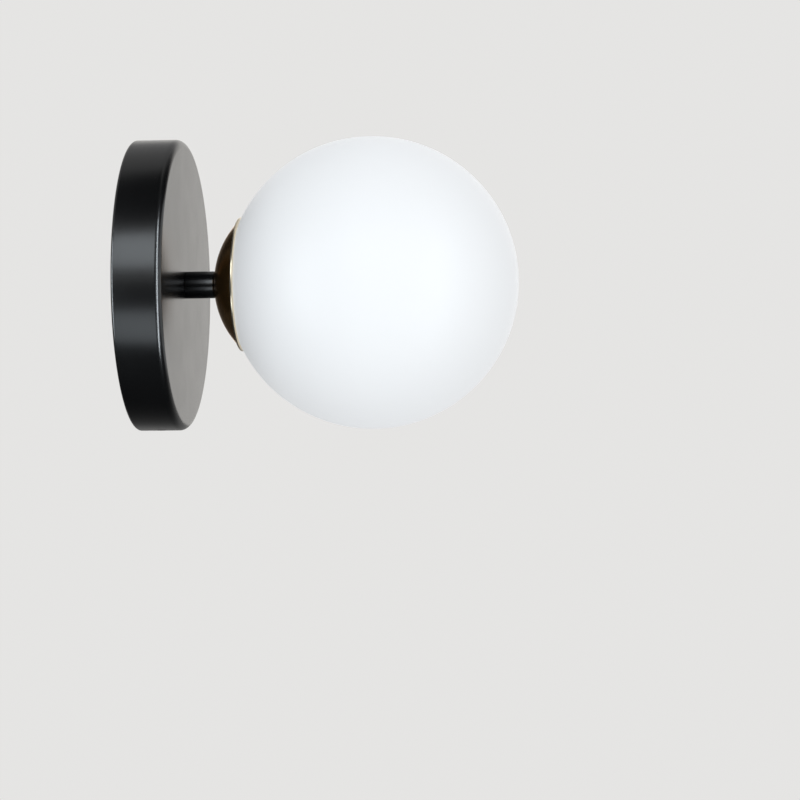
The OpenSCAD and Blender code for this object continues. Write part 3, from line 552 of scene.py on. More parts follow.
# %% Black satin paint
def specks(material, scale, size):
    """Spots of about the given share of a cell, so many cells a metre."""
    cells = at_place(material, "TexVoronoi", Scale=scale)
    inside = node(material, "MapRange", From_Min=size, From_Max=0.4 * size)
    join(material, cells, "Distance", inside, "Value")
    return inside


black_paint = finish("black_satin_paint", (0.003, 0.0031, 0.0034), 0.23, 0.255, 60, IOR=1.58)
raise_by(black_paint, specks(black_paint, 140, 0.06), 0.03 * mm)

# %% [markdown]
# ### Polished brass
# The cup is turned, polished and lacquered. It mirrors the black canopy, so it looks dark and brown there
# and gold where it sees the studio. Fine rings round its axis are all that the turning left. The rolled
# edge gets a pale cream colour in a band set by the distance from the wall: a painted glint, standing in
# for the highlight that the edge catches.

# %% Polished brass
def rings(material, scale):
    """Fine rings round the lamp's own axis, as a lathe leaves them."""
    return at_place(material, "TexWave", wave_type="RINGS", rings_direction="Y", Scale=scale, Distortion=1.0)


brass_colour = (0.78, 0.44, 0.175)
# The rolled edge's pale cream is a painted glint, not the brass's own colour
lip_glint_colour = (0.9, 0.79, 0.6)
glint_band_height = 1.4 * mm
glint_band_blend = 0.3 * mm
glint_band_back = span("cup")[1] - glint_band_height

polished_brass = finish("polished_brass", brass_colour, 0.15, 0.19, 40, Metallic=0.97)
# A band at the rim, by distance from the wall, takes the painted glint colour
painted_glint_mask = node(polished_brass, "MapRange", From_Min=-glint_band_back + glint_band_blend, From_Max=-glint_band_back)
join(polished_brass, at_place(polished_brass, "SeparateXYZ"), "Y", painted_glint_mask, "Value")
vary_colour(polished_brass, painted_glint_mask, brass_colour, lip_glint_colour, low=0, high=1)
raise_by(polished_brass, rings(polished_brass, 500), 0.0004 * mm)

# %% [markdown]
# ### Opal glass
# The ball is lit. Opal glass scatters the bulb's light so well that the ball glows evenly, with no bulb to
# be seen. So the glass gives off white light of its own, a little less near the neck, where the bulb's foot
# is dark, and the studio's light adds the soft shading towards its outline.

# %% Opal glass
glow_colour = (0.97, 0.985, 1, 1)
neck_end, ball_front = 50 * mm, 185 * mm
glow_from_neck = ((0, 0.385), (0.18, 0.49), (0.5, 0.572), (1, 0.645))

opal_glass = finish("opal_glass", (0.6, 0.603, 0.606), 0.44, 0.48, 30, IOR=1.45, Specular_IOR_Level=0.15,
                    Emission_Color=glow_colour)
from_neck = node(opal_glass, "MapRange", From_Min=-neck_end, From_Max=-ball_front)
join(opal_glass, at_place(opal_glass, "SeparateXYZ"), "Y", from_neck, "Value")
glow = colour_ramp(opal_glass, [(share, (level, level, level, 1)) for share, level in glow_from_neck])
join(opal_glass, from_neck, "Result", glow, "Fac")
join(opal_glass, glow, "Color", shader_of(opal_glass), "Emission Strength")

# %% [markdown]
# ### The metals inside
# Zinc plating is bluish with faint yellow clouds, the nuts are dull brass, the collar is turned aluminium
# and the contacts are nickel plated. They differ in colour, in roughness and in how the roughness wanders.

# %% The metals inside
zinc_steel = finish("zinc_steel", (0.56, 0.57, 0.59), 0.26, 0.42, 300, Metallic=1)
vary_colour(zinc_steel, noise(zinc_steel, 90, detail=5), (0.5, 0.53, 0.57), (0.63, 0.61, 0.56))
raise_by(zinc_steel, noise(zinc_steel, 900), 0.002 * mm)
plain_brass = finish("plain_brass", (0.68, 0.49, 0.22), 0.24, 0.38, 400, Metallic=1)
vary_colour(plain_brass, noise(plain_brass, 120), (0.62, 0.43, 0.18), (0.72, 0.53, 0.26))
aluminium = finish("collar_aluminium", (0.77, 0.78, 0.79), 0.24, 0.34, 200, Metallic=1)
raise_by(aluminium, rings(aluminium, 900), 0.0005 * mm)
finish("nickel_plate", (0.66, 0.63, 0.58), 0.13, 0.26, 250, Metallic=1)

# %% [markdown]
# ### Plastics, rubber and ceramic
# The lampholder is black thermoset with a dull moulded skin, its core is steatite with fine specks, and the
# terminal block and the bulb's body are white plastic. The gasket is milky silicone.

# %% Plastics, rubber and ceramic
def plastic(name, colour, low, high, grain, height, **inputs):
    """A moulded material, whose skin has a grain of so many lumps a metre and so high."""
    material = finish(name, colour, low, high, grain / 3, IOR=1.48, **inputs)
    raise_by(material, noise(material, grain), height)
    return material


plastic("silicone", (0.76, 0.76, 0.73), 0.45, 0.6, 900, 0.01 * mm)
plastic("black_thermoset", (0.012, 0.012, 0.013), 0.3, 0.45, 2500, 0.012 * mm)
plastic("white_plastic", (0.78, 0.78, 0.76), 0.32, 0.42, 1800, 0.006 * mm)
plastic("opal_plastic", (0.84, 0.84, 0.83), 0.3, 0.4, 700, 0.004 * mm, Emission_Color=(1, 0.99, 0.97, 1),
        Emission_Strength=0.25)
ceramic = plastic("ceramic_core", (0.74, 0.7, 0.62), 0.5, 0.7, 3000, 0.01 * mm)
vary_colour(ceramic, noise(ceramic, 1500), (0.68, 0.64, 0.55), (0.78, 0.75, 0.68))

# %% [markdown]
# ### Boards and wires
# The driver's board is green with paler copper tracks under its lacquer. The round board is white, and
# whatever stands proud of it is a yellow diode. Insulation is smooth and slightly waxy. The earth wire is
# green with a yellow stripe, which follows the side of the wire that faces the wall.

# %% Boards and wires
circuit_board = plastic("circuit_board", (0.02, 0.14, 0.05), 0.25, 0.4, 1200, 0.01 * mm)
tracks = at_place(circuit_board, "TexBrick", stretch=(0.001, 1, 1), Scale=260)
vary_colour(circuit_board, tracks, (0.06, 0.22, 0.08), (0.015, 0.11, 0.04))

led_board = plastic("led_board_white", (0.84, 0.84, 0.82), 0.3, 0.4, 900, 0.005 * mm)
chip_t = 0.7 * mm
board_face = span("bulb_led_board")[1] - chip_t
proud = node(led_board, "Math", operation="LESS_THAN")
proud.inputs[1].default_value = -board_face - hair
join(led_board, at_place(led_board, "SeparateXYZ"), "Y", proud, 0)
vary_colour(led_board, proud, (0.84, 0.84, 0.82), (0.85, 0.62, 0.08))

waxy = (0.35, 0.45, 1500, 0.004 * mm)
plastic("brown_insulation", (0.16, 0.06, 0.025), *waxy)
plastic("blue_insulation", (0.02, 0.09, 0.42), *waxy)
earth_insulation = plastic("earth_insulation", (0.05, 0.3, 0.05), *waxy)
facing = node(earth_insulation, "SeparateXYZ")
join(earth_insulation, node(earth_insulation, "TexCoord"), "Normal", facing, "Vector")
to_wall = node(earth_insulation, "MapRange", From_Min=0.3, From_Max=0.32)
join(earth_insulation, facing, "Y", to_wall, "Value")
vary_colour(earth_insulation, to_wall, (0.05, 0.3, 0.05), (0.72, 0.62, 0.03))
print(len(finish_of), "finishes:", ", ".join(finish_of))

# %% [markdown]
# ## The canopy
# The real canopy is a steel disc that is drawn into a shallow dish, with its rear edge turned in. It could
# be a profile that is spun round. A cylinder is quicker to read: its front edge is bevelled into the
# rounding, its rear edge into the turned-in lip, its rear face is deleted, and a Solidify modifier gives
# the sheet.

# %% The canopy
sheet_t = 1 * mm
canopy_back, canopy_front, canopy_r = span("canopy")
front_round = 4 * mm
rear_round = 1.5 * mm
tube_hole_r = 5.2 * mm

canopy = bar(canopy_r, canopy_back, canopy_front, vertices=288)
edit(canopy, "EDGE")
round_off(canopy, ring_at(canopy_front), front_round, 14)
round_off(canopy, ring_at(canopy_back), rear_round, 7)
pick(canopy, lambda face: open_end(face) and face.normal.z < 0, "FACE")
bpy.ops.mesh.delete(type="ONLY_FACE")
pick(canopy, open_end)
bpy.ops.mesh.inset(thickness=canopy_r - front_round - tube_hole_r)
bpy.ops.mesh.delete(type="ONLY_FACE")
done()
wall(canopy, sheet_t)
print("The dish has", len(canopy.data.polygons), "faces before it is drilled")

# %% The holes for the rim screws
rim_screw_reach = 12 * mm
rim_hole_r = 2.2 * mm

cut(canopy, rod(rim_hole_r, (0, 0, rim_screw_reach), 3 * canopy_r, axis="Y"))
hand_over(canopy, "canopy", angle=30)

# %% [markdown]
# ## The spacer
# A solid piece of turned bar, clamped between the canopy and the cup. Its end at the cup is rounded over
# and its end at the canopy only loses its sharp edge. A cylinder with two bevels is just that.

# %% The spacer
spacer_back, spacer_front, spacer_r = span("spacer")
spacer_round = 1.2 * mm
spacer_chamfer = 0.3 * mm

spacer = bar(spacer_r, spacer_back, spacer_front, vertices=128)
edit(spacer, "EDGE")
round_off(spacer, ring_at(spacer_front), spacer_round, 8)
round_off(spacer, ring_at(spacer_back), spacer_chamfer, 2)
pick(spacer, open_end, "FACE")
bpy.ops.mesh.inset(thickness=spacer_r - spacer_round - tube_hole_r)
done()
cut(spacer, bar(tube_hole_r, 0, 2 * spacer_front, vertices=64))
hand_over(spacer, "spacer")

# %% [markdown]
# ## The cup
# A dome pressed from brass sheet, with a flat seat for the spacer and its rim rolled outwards into a thin
# bead. A sphere of the dome's radius is cut off at the rim and at the seat with bisect, and Solidify gives
# it its wall. The bead is a torus that a Boolean union melts into the dome, so no seam shows.

# %% The cup's dome
globe_back, globe_front, globe_r = span("globe")
globe_centre = globe_front - globe_r
cup_back, _, cup_rim_r = span("cup")
flat_seat = 0.5 * mm
cup_pole = cup_back - flat_seat
cup_wall = 1 * mm
glass_gap = 0.3 * mm
lip_r = 0.6 * mm
dome_depth = globe_centre - math.sqrt((globe_r + glass_gap) ** 2 - cup_rim_r ** 2) - cup_pole
dome_r = (cup_rim_r ** 2 + dome_depth ** 2) / (2 * dome_depth)
lip_at = globe_centre - math.sqrt((globe_r + glass_gap + lip_r) ** 2 - (cup_rim_r - lip_r) ** 2)
seat_r = math.sqrt(dome_r ** 2 - (cup_pole + dome_r - cup_back) ** 2)

cup = add(bpy.ops.mesh.primitive_uv_sphere_add, segments=224, ring_count=180, radius=dome_r,
          location=(0, 0, cup_pole + dome_r))
edit(cup, "FACE", "SELECT")
bpy.ops.mesh.bisect(plane_co=(0, 0, lip_at), plane_no=(0, 0, 1), clear_outer=True)
bpy.ops.mesh.select_all(action="SELECT")
bpy.ops.mesh.bisect(plane_co=(0, 0, cup_back), plane_no=(0, 0, 1), clear_inner=True)
bpy.ops.mesh.edge_face_add()
pick(cup, open_end, "FACE")
bpy.ops.mesh.inset(thickness=seat_r - tube_hole_r)
bpy.ops.mesh.delete(type="ONLY_FACE")
done()
wall(cup, cup_wall)
print("The dome's radius is", round(1000 * dome_r, 1), "mm")

# %% The cup's rolled rim
cut(cup, add(bpy.ops.mesh.primitive_torus_add, major_segments=224, minor_segments=24,
             major_radius=cup_rim_r - lip_r, minor_radius=lip_r, location=(0, 0, lip_at)), "UNION")
hand_over(cup, "cup")

# %% [markdown]
# ## The glass ball
# The ball is blown, with a short neck that is threaded inside. A sphere is cut off where the neck begins,
# the open edge is pulled out into the neck, and Solidify gives the glass its wall.

# %% The glass ball
globe_wall = 3 * mm
neck_r = 22.3 * mm
neck_top = globe_centre - math.sqrt(globe_r ** 2 - neck_r ** 2)

globe = add(bpy.ops.mesh.primitive_uv_sphere_add, segments=256, ring_count=160, radius=globe_r,
            location=(0, 0, globe_centre))
edit(globe, "FACE", "SELECT")
bpy.ops.mesh.bisect(plane_co=(0, 0, neck_top), plane_no=(0, 0, 1), clear_inner=True)
pick(globe, ring_at(neck_top), "EDGE")
pull(0, 0, globe_back - neck_top)
done()
wall(globe, globe_wall)
hand_over(globe, "globe", angle=40)

# %% [markdown]
# ## The wall bracket
# A strip of zinc-plated steel with an ear bent forward at each end, slotted for the wall screws. It could
# be cut from a solid block. Folding it as the press does is simpler: a plane is cut in three lengthwise,
# its ends are pulled up, only the middle goes on as the narrower ear, the folds are bevelled, and Solidify
# gives the sheet.

# %% The wall bracket
strip_t = 1.5 * mm
fold_r = 2.5 * mm
fold_up = 2.6 * mm
ear_half = 7 * mm
ear_corner_r = 2 * mm
strip_half = middle_of("wall_bracket")[2]
_, ear_reach, ear_outer = span("wall_bracket")


def across_an_end(edge, distance):
    """Whether an edge runs across one end of the strip, so far from the wall."""
    a, b = (vertex.co for vertex in edge.verts)
    return near(abs(a.y), ear_outer) and near(a.y, b.y) and near(a.z, distance) and near(b.z, distance)


bracket = add(bpy.ops.mesh.primitive_plane_add, stretch=(strip_half, ear_outer, 1), size=2)
edit(bracket, "EDGE")
for side in (-1, 1):
    bpy.ops.mesh.select_all(action="SELECT")
    bpy.ops.mesh.bisect(plane_co=(side * ear_half, 0, 0), plane_no=(1, 0, 0))
pick(bracket, lambda edge: across_an_end(edge, 0), "EDGE")
pull(0, 0, fold_up)
pick(bracket, lambda edge: across_an_end(edge, fold_up)
     and max(abs(vertex.co.x) for vertex in edge.verts) < 1.01 * ear_half)
pull(0, 0, ear_reach - fold_up)
round_off(bracket, lambda edge: across_an_end(edge, 0), fold_r, 8)
pick(bracket, lambda vertex: near(vertex.co.z, ear_reach), "VERT")
bpy.ops.mesh.bevel(offset=ear_corner_r, segments=5, affect="VERTICES")
done()
sheet(bracket, strip_t)
print("The folded strip has", len(bracket.data.polygons), "faces before it is drilled")

# %% The bracket's holes
slot_spacing = 90 * mm
slot_len = 14 * mm
slot_half = 2.5 * mm
cable_hole_r = 6.5 * mm
earth_screw_r = 2 * mm

cut(bracket, rod(cable_hole_r, (0, 0, 0), 4 * strip_t))
cut(bracket, rod(earth_screw_r, (0, middle_of("bracket_earth_screw")[1], 0), 4 * strip_t))
for slot_at in (-slot_spacing / 2, slot_spacing / 2):
    slot = block((-slot_half, slot_at - slot_len / 2, -strip_t),
                 (slot_half, slot_at + slot_len / 2, 2 * strip_t))
    edit(slot, "EDGE")
    round_off(slot, upright, 0.98 * slot_half, 10)
    done()
    cut(bracket, slot)
hand_over(soften(bracket, 0.2 * mm), "wall_bracket", folded=True)

# %% [markdown]
# ## The terminal carrier
# A punched steel plate between the canopy and the nut. A box is enough to start from: a bevel of its four
# upright edges rounds the corners, and the holes are drilled where the other pieces say.

# %% The terminal carrier
low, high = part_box("terminal_carrier")
carrier_back, carrier_front, _ = span("terminal_carrier")
carrier_corner_r = 2.5 * mm
block_screw_hole_r = 1.15 * mm
carrier = block((low.x, low.z, carrier_back), (high.x, high.z, carrier_front))
edit(carrier, "EDGE")
round_off(carrier, upright, carrier_corner_r, 6)
done()
cut(carrier, rod(tube_hole_r, (0, 0, carrier_back), 4 * sheet_t))
for name, hole_r in (("earth_screw", earth_screw_r), ("block_screw", block_screw_hole_r)):
    right, up, _ = middle_of(name)
    cut(carrier, rod(hole_r, (right, up, carrier_back), 4 * sheet_t))
hand_over(soften(carrier), "terminal_carrier")

# %% [markdown]
# ## Toothed washers
# They bite into both faces, so a nut can't work loose. A ring with four faces to a tooth is drawn at the
# depth of the notches, and on every other pair the outer faces are pulled out into a tooth.

# %% Toothed washers
def toothed_washer(name, hole_r, teeth):
    """A lock washer of a CAD washer's size, standing where that one stands."""
    right, up, outer_r = middle_of(name)
    back, front, _ = span(name)
    root_r = 0.84 * outer_r
    sector = math.pi / (2 * teeth)

    def tooth(face):
        """Whether a face is on the outside, in one of the sectors that carry a tooth."""
        middle = face.calc_center_median()
        turn = math.atan2(middle.y, middle.x) % (4 * sector)
        outside = math.hypot(middle.x, middle.y) > 0.9 * root_r and abs(face.normal.z) < 0.5
        return outside and turn < 2 * sector

    washer = ring(hole_r, root_r, back, front, vertices=4 * teeth)
    edit(washer, "FACE")
    pick(washer, tooth)
    bpy.ops.mesh.extrude_region_move()
    bpy.ops.transform.resize(value=(outer_r / root_r, outer_r / root_r, 1), center_override=(0, 0, 0))
    done()
    soften(washer, 0.06 * mm)
    hand_over(moved(washer, (right, up, 0)), name)


screw_play = 0.2 * mm
for name in ("rear_lock_washer", "front_lock_washer"):
    toothed_washer(name, tube_hole_r, 14)
for name in ("earth_washer", "bracket_earth_washer"):
    toothed_washer(name, earth_screw_r + screw_play, 10)

# %% [markdown]
# ## The brass nuts
# A six-sided cylinder is the start. A turned barrel, melted into it by intersection, takes its corners back
# on both faces, just as a nut's corners are turned off on a lathe.

# %% The brass nuts
tube_r = 5 * mm
tube_bore_r = 3.6 * mm


def hexagon_nut(name):
    """A nut of a CAD nut's size, with chamfered corners and a chamfered bore."""
    back, front, _ = span(name)
    corner_r = max(middle_of(name)[2], span(name)[2])
    turned_off = 0.5 * mm
    nut = moved(bar(corner_r, back, front, vertices=6), turn=(0, 0, math.pi / 6))
    cut(nut, turned([(corner_r - turned_off, back), (corner_r + turned_off, back + turned_off),
                     (corner_r + turned_off, front - turned_off), (corner_r - turned_off, front)],
                    closed=False), "INTERSECT")
    cut(nut, turned([(tube_r + turned_off, back - hair), (tube_r, back + turned_off),
                     (tube_r, front - turned_off), (tube_r + turned_off, front + hair)], closed=False))
    hand_over(soften(nut, 0.1 * mm), name)


for name in ("rear_nut", "front_nut"):
    hexagon_nut(name)

# %% [markdown]
# ## The threaded tube and its bush
# The tube is threaded from end to end. The thread is a rounded ridge wound round a plain tube by a Screw
# modifier, which is lighter than cutting it. The bush is a short plastic sleeve with a rounded collar.

# %% The threaded tube
thread_pitch = 1 * mm
thread_h = 0.3 * mm
tube_back, tube_front, _ = span("threaded_tube")
root_r = tube_r - thread_h
tube = soften(ring(tube_bore_r, root_r, tube_back, tube_front), 0.2 * mm)
turns = int((tube_front - tube_back) / thread_pitch) - 1
thread = ridge(root_r, thread_h, 0.9 * thread_pitch, thread_pitch, tube_back + 0.6 * thread_pitch, turns,
               steps=48)
hand_over(joined([tube, thread]), "threaded_tube")

# %% The bush
bush_back, bush_front, _ = span("tube_bush")
bush_hole_r = 2.3 * mm
bush_fit_r = tube_bore_r - hair
bush = turned([(bush_hole_r, bush_back), (tube_r, bush_back), (tube_r, tube_back), (bush_fit_r, tube_back),
               (bush_fit_r, bush_front), (bush_hole_r, bush_front)])
hand_over(soften(bush, 0.35 * mm, segments=4), "tube_bush")

# %% [markdown]
# ## Screws
# All screws here have a slotted head. One function turns a cheese-head screw at the origin, head below and
# shank above, cuts its slot and winds its thread, and it is then moved or copied to where the CAD has it.

# %% Screws
def cheese_screw(head_r, head_t, shank_r, shank_len, pitch=0.7 * mm):
    """A cheese-head screw along +Z, with its head below zero."""
    core_r = shank_r - 0.12 * mm
    edge = 0.12 * head_r
    screw = turned([(core_r - edge, shank_len), (core_r, shank_len - edge), (core_r, 0), (head_r, 0),
                    (head_r, -head_t + 2 * edge), (head_r - edge, -head_t + 0.6 * edge),
                    (head_r - 2.2 * edge, -head_t)], closed=False, vertices=48)
    slot_half = 0.4 * mm
    cut(screw, block((-2 * head_r, -slot_half, -2 * head_t), (2 * head_r, slot_half, -head_t / 2)))
    soften(screw, 0.06 * mm)
    turns = int(shank_len / pitch - 0.5)
    if turns > 0:
        thread = ridge(core_r, shank_r - core_r, 0.8 * pitch, pitch, 0.3 * pitch, turns, steps=32)
        screw = joined([screw, thread])
    return screw


def stand_screw(name, head_r, head_t, shank_r, pitch=0.7 * mm, turn=0):
    """Puts a screw where the CAD has it, with its head towards the wall, or away from it if turned round."""
    right, up, _ = middle_of(name)
    back, front, _ = span(name)
    screw = cheese_screw(head_r, head_t, shank_r, front - back - head_t, pitch)
    hand_over(moved(screw, (right, up, front - head_t if turn else back + head_t), (turn, 0, 0)), name)


earth_head_r = 3.5 * mm
earth_head_t = 2.4 * mm
block_head_r = middle_of("block_screw")[2]
block_head_t = 1.6 * mm
stand_screw("bracket_earth_screw", earth_head_r, earth_head_t, earth_screw_r, turn=math.pi)
stand_screw("earth_screw", earth_head_r, earth_head_t, earth_screw_r)
stand_screw("block_screw", block_head_r, block_head_t, block_head_r / 2, pitch=0.5 * mm)

# %% [markdown]
# ## The rim screws and their nuts
# Two grub screws go through the rim into nuts that are welded inside it, and press on the bracket's ears.
# The screw is turned with a chamfered end, threaded all along, and slotted. The nut is a plain ring, and its
# rounded edges clear the rim's curve.

# %% The rim screws
grub_r = 2 * mm
grub_pitch = 0.7 * mm
low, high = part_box("rim_screw_top")
grub_tip, grub_top = low.z, high.z


def grub_screw():
    """A slotted grub screw along +Z, as far from the axis as the real one stands."""
    core_r = grub_r - 0.15 * mm
    slot_depth = 1.2 * mm
    slot_half = 0.35 * mm
    point = 0.4 * mm
    edge = 0.2 * mm
    screw = turned([(core_r - point, grub_tip), (core_r, grub_tip + point), (core_r, grub_top - edge),
                    (core_r - edge, grub_top)], closed=False, vertices=48)
    cut(screw, block((-2 * grub_r, -slot_half, grub_top - slot_depth), (2 * grub_r, slot_half, 2 * grub_top)))
    turns = int((grub_top - grub_tip - slot_depth - point) / grub_pitch)
    thread_from = grub_tip + 0.5 * mm
    thread = ridge(core_r, grub_r - core_r, 0.8 * grub_pitch, grub_pitch, thread_from, turns, steps=32)
    return joined([screw, thread])


for name, turn in (("rim_screw_top", -math.pi / 2), ("rim_screw_bottom", math.pi / 2)):
    hand_over(moved(grub_screw(), (0, 0, rim_screw_reach), (turn, 0, 0)), name)

# %% The nuts in the rim
nut_r = middle_of("rim_nuts")[2]
nut_far = span("rim_nuts")[2]
nut_t = 3.2 * mm
nuts = []
for side in (-1, 1):
    nut = soften(ring(grub_r, nut_r, nut_far - nut_t, nut_far, vertices=64), 0.3 * mm)
    nuts.append(moved(nut, (0, 0, rim_screw_reach), (-side * math.pi / 2, 0, 0)))
hand_over(joined(nuts), "rim_nuts")

# %% [markdown]
# ## The collar and the gasket
# The ball screws onto the collar, which is turned from aluminium: a thin floor, a thin wall and one turn of
# a coarse round thread. The gasket is a plain soft ring between the cup and the end of the glass neck.

# %% The collar
coarse_h = 0.3 * mm
coarse_w = 1.1 * mm
run_out = 0.7 * mm
coarse_pitch = 3 * mm
collar_t = 1.2 * mm
collar_back, collar_front, crest_r = span("thread_collar")
wall_r = crest_r - coarse_h
collar = turned([(tube_hole_r, collar_back), (wall_r, collar_back), (wall_r, collar_front),
                 (wall_r - collar_t, collar_front), (wall_r - collar_t, collar_back + collar_t),
                 (tube_hole_r, collar_back + collar_t)], vertices=160)
soften(collar, 0.25 * mm)
thread_from = collar_front - coarse_pitch - run_out
thread = ridge(wall_r, coarse_h, coarse_w, coarse_pitch, thread_from, 1, steps=160)
hand_over(joined([collar, thread]), "thread_collar")

# %% The gasket
gasket_bore_r = 19.4 * mm
gasket_back, gasket_front, gasket_r = span("gasket")
gasket = ring(gasket_bore_r, gasket_r, gasket_back, gasket_front, vertices=160)
hand_over(soften(gasket, 0.3 * mm, segments=4), "gasket")

# %% [markdown]
# ## The lampholder
# Two black mouldings close round a ceramic core. Both are turned shapes, so their sections are drawn ring
# by ring. The core is a disc with a hole for each rivet, and a small rounding breaks every edge.

# %% The lampholder's cap
rivet_places = ((0, 0, 0), (9 * mm, 0, 0))
rivet_r = 0.75 * mm
cap_foot_r = 9.5 * mm
cap_floor = 5.6 * mm
ledge = 1 * mm
cap_back, cap_front, holder_r = span("holder_cap")
core_back, core_front, core_r = span("holder_core")
inner_r = core_r + 2 * hair
floor_at = cap_back + cap_floor
cap = turned([(tube_r, cap_back), (cap_foot_r, cap_back), (holder_r, floor_at), (holder_r, cap_front),
              (inner_r, cap_front), (inner_r, core_back), (inner_r - ledge, core_back),
              (inner_r - ledge, floor_at), (tube_r, floor_at)])
hand_over(soften(cap, 0.3 * mm, segments=3), "holder_cap")

# %% The lampholder's core and sleeve
core = bar(core_r, core_back, core_front, vertices=96)
for place in rivet_places:
    cut(core, rod(rivet_r, (place[0], 0, core_back), 4 * (core_front - core_back)))
hand_over(soften(core, 0.35 * mm, segments=3), "holder_core")

mouth_r = 8.6 * mm
sleeve_face = 2 * mm
sleeve_back, sleeve_front, _ = span("holder_sleeve")
sleeve = turned([(inner_r, sleeve_back), (holder_r, sleeve_back), (holder_r, sleeve_front),
                 (mouth_r, sleeve_front), (mouth_r, sleeve_front - sleeve_face),
                 (inner_r, sleeve_front - sleeve_face)])
hand_over(soften(sleeve, 0.4 * mm, segments=3), "holder_sleeve")

# %% [markdown]
# ### The threaded shells
# The lampholder's shell and the bulb's are rolled from thin sheet, and the same round thread joins them.
# Each is a turned sleeve with a ridge wound round it, whose inner half is drilled away, so that the bore
# stays clear.

# %% The lampholder's shell
bulb_pitch = 2.82 * mm
first_crest = 1.6 * mm
holder_roll_h = 0.65 * mm
bulb_roll_h = 0.8 * mm


def rolled_thread(radius, height, start, bore_r):
    """Four turns of the bulb's thread outside a thin sleeve."""
    thread = ridge(radius, height, 2 * height, bulb_pitch, start, 4, steps=72)
    cut(thread, rod(bore_r, (0, 0, start), 20 * bulb_pitch, vertices=96))
    return thread


shell_bore_r = 7.15 * mm
shell_t = 0.35 * mm
flange_t = 0.4 * mm
shell_back, shell_front, _ = span("holder_shell")
flange_r = middle_of("holder_shell")[2]
shell = turned([(shell_bore_r, shell_back), (flange_r, shell_back), (flange_r, shell_back + flange_t),
                (shell_bore_r + shell_t, shell_back + flange_t), (shell_bore_r + shell_t, shell_front),
                (shell_bore_r, shell_front)])
cut(shell, rod(rivet_r, (rivet_places[1][0], 0, shell_back), 4 * flange_t))
soften(shell, 0.06 * mm)
thread = rolled_thread(shell_bore_r + shell_t - 0.15 * mm, holder_roll_h,
                       shell_back + bulb_pitch + first_crest, shell_bore_r)
hand_over(joined([shell, thread]), "holder_shell")

# %% The bulb's shell
bulb_bore_r = 6 * mm
shell_back, shell_front, crest_r = span("bulb_shell")
shell = ring(bulb_bore_r, bulb_bore_r + shell_t, shell_back, shell_front)
thread = rolled_thread(crest_r - bulb_roll_h, bulb_roll_h, shell_back + first_crest, bulb_bore_r)
hand_over(joined([shell, thread]), "bulb_shell")

# %% [markdown]
# ### The spring leaf, the clamps and the rivets
# The leaf is a strip folded back over itself, so it is made as the bracket was: a plane, an edge pulled up
# and over, bevelled folds and Solidify. Each clamp is a block melted into its strap, and then drilled.

# %% The spring leaf
leaf_t = 0.4 * mm
leaf_fold_r = 0.6 * mm
low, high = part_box("holder_contact")
leaf_back, leaf_front, _ = span("holder_contact")
leaf = add(bpy.ops.mesh.primitive_plane_add, stretch=(high.x - low.x, high.z - low.z, 1), size=1,
           location=((low.x + high.x) / 2, 0, leaf_back))
edit(leaf, "EDGE")
pick(leaf, lambda edge: all(near(v.co.x, low.x) for v in edge.verts))
pull(0, 0, leaf_front - leaf_back)
pull(high.x - low.x, 0, 0)
round_off(leaf, lambda edge: all(near(v.co.x, low.x) for v in edge.verts) and not upright(edge),
          leaf_fold_r, 6)
done()
sheet(leaf, leaf_t)
cut(leaf, rod(rivet_r, (0, 0, leaf_back), 2 * leaf_t))
hand_over(soften(leaf, 0.08 * mm), "holder_contact", folded=True)

# %% The lead clamps
clamp_x = 5.4 * mm
clamp_half = 1.8 * mm
clamp_h = 4 * mm
strap_t = 1 * mm
rivet_head_r = 1.2 * mm
clamp_screw_r = 0.8 * mm
lead_hole_r = 0.95 * mm
clamp_screw_at = core_back - (clamp_h + strap_t) / 2
clamps = []
for side, rivet in zip((-1, 1), rivet_places):
    clamp = block((side * clamp_x - clamp_half, -clamp_half, core_back - clamp_h),
                  (side * clamp_x + clamp_half, clamp_half, core_back))
    cut(clamp, block((side * clamp_x - clamp_half, -clamp_half, core_back - strap_t),
                     (rivet[0] + rivet_head_r, clamp_half, core_back)), "UNION")
    cut(clamp, rod(lead_hole_r, (side * clamp_x, 0, core_back - clamp_h), 2 * (clamp_h - strap_t)))
    cut(clamp, rod(rivet_r, (rivet[0], 0, core_back), 4 * strap_t))
    cut(clamp, rod(clamp_screw_r, (side * clamp_x, -clamp_half, clamp_screw_at), 2 * clamp_half, axis="Y"))
    soften(clamp, 0.15 * mm)
    clamps.append(clamp)
hand_over(joined(clamps), "holder_terminals")

# %% The clamps' screws and the rivets
screw = cheese_screw(head_r=1.3 * mm, head_t=1 * mm, shank_r=clamp_screw_r,
                     shank_len=clamp_half - lead_hole_r)
hand_over(copies(screw, [(side * clamp_x, -clamp_half, clamp_screw_at) for side in (-1, 1)],
                 [(-math.pi / 2, 0, 0)] * 2), "holder_terminal_screws")

back, front, _ = span("holder_rivets")
head_t = 0.5 * mm
rivet = turned([(0.5 * rivet_head_r, back), (rivet_head_r, back + 0.5 * head_t),
                (rivet_head_r, back + head_t), (rivet_r, back + head_t),
                (rivet_r, front - head_t), (rivet_head_r, front - head_t),
                (rivet_head_r, front - 0.5 * head_t), (0.5 * rivet_head_r, front)], closed=False, vertices=40)
soften(rivet, 0.08 * mm, segments=3)
hand_over(copies(rivet, rivet_places), "holder_rivets")

# %% [markdown]
# ## The bulb
# A candle bulb stands inside the ball: a domed contact, a black insulator, the threaded shell, a white body
# with the driver inside, a round board of diodes and an opal cover. The cover's outline is an arc that a
# smaller arc closes at the tip. It is drawn ring by ring, opened at its foot and given its wall with
# Solidify.

# %% The bulb's foot
back, front, button_r = span("bulb_contact")
dome_r = 1.4 * button_r
dome_turn = math.asin(button_r / dome_r)
dome = [(dome_r * math.sin(i * dome_turn / 8), back + dome_r - dome_r * math.cos(i * dome_turn / 8))
        for i in range(1, 9)]
contact = turned(dome + [(button_r, front)], closed=False)
hand_over(soften(contact, 0.1 * mm, angle=50), "bulb_contact")

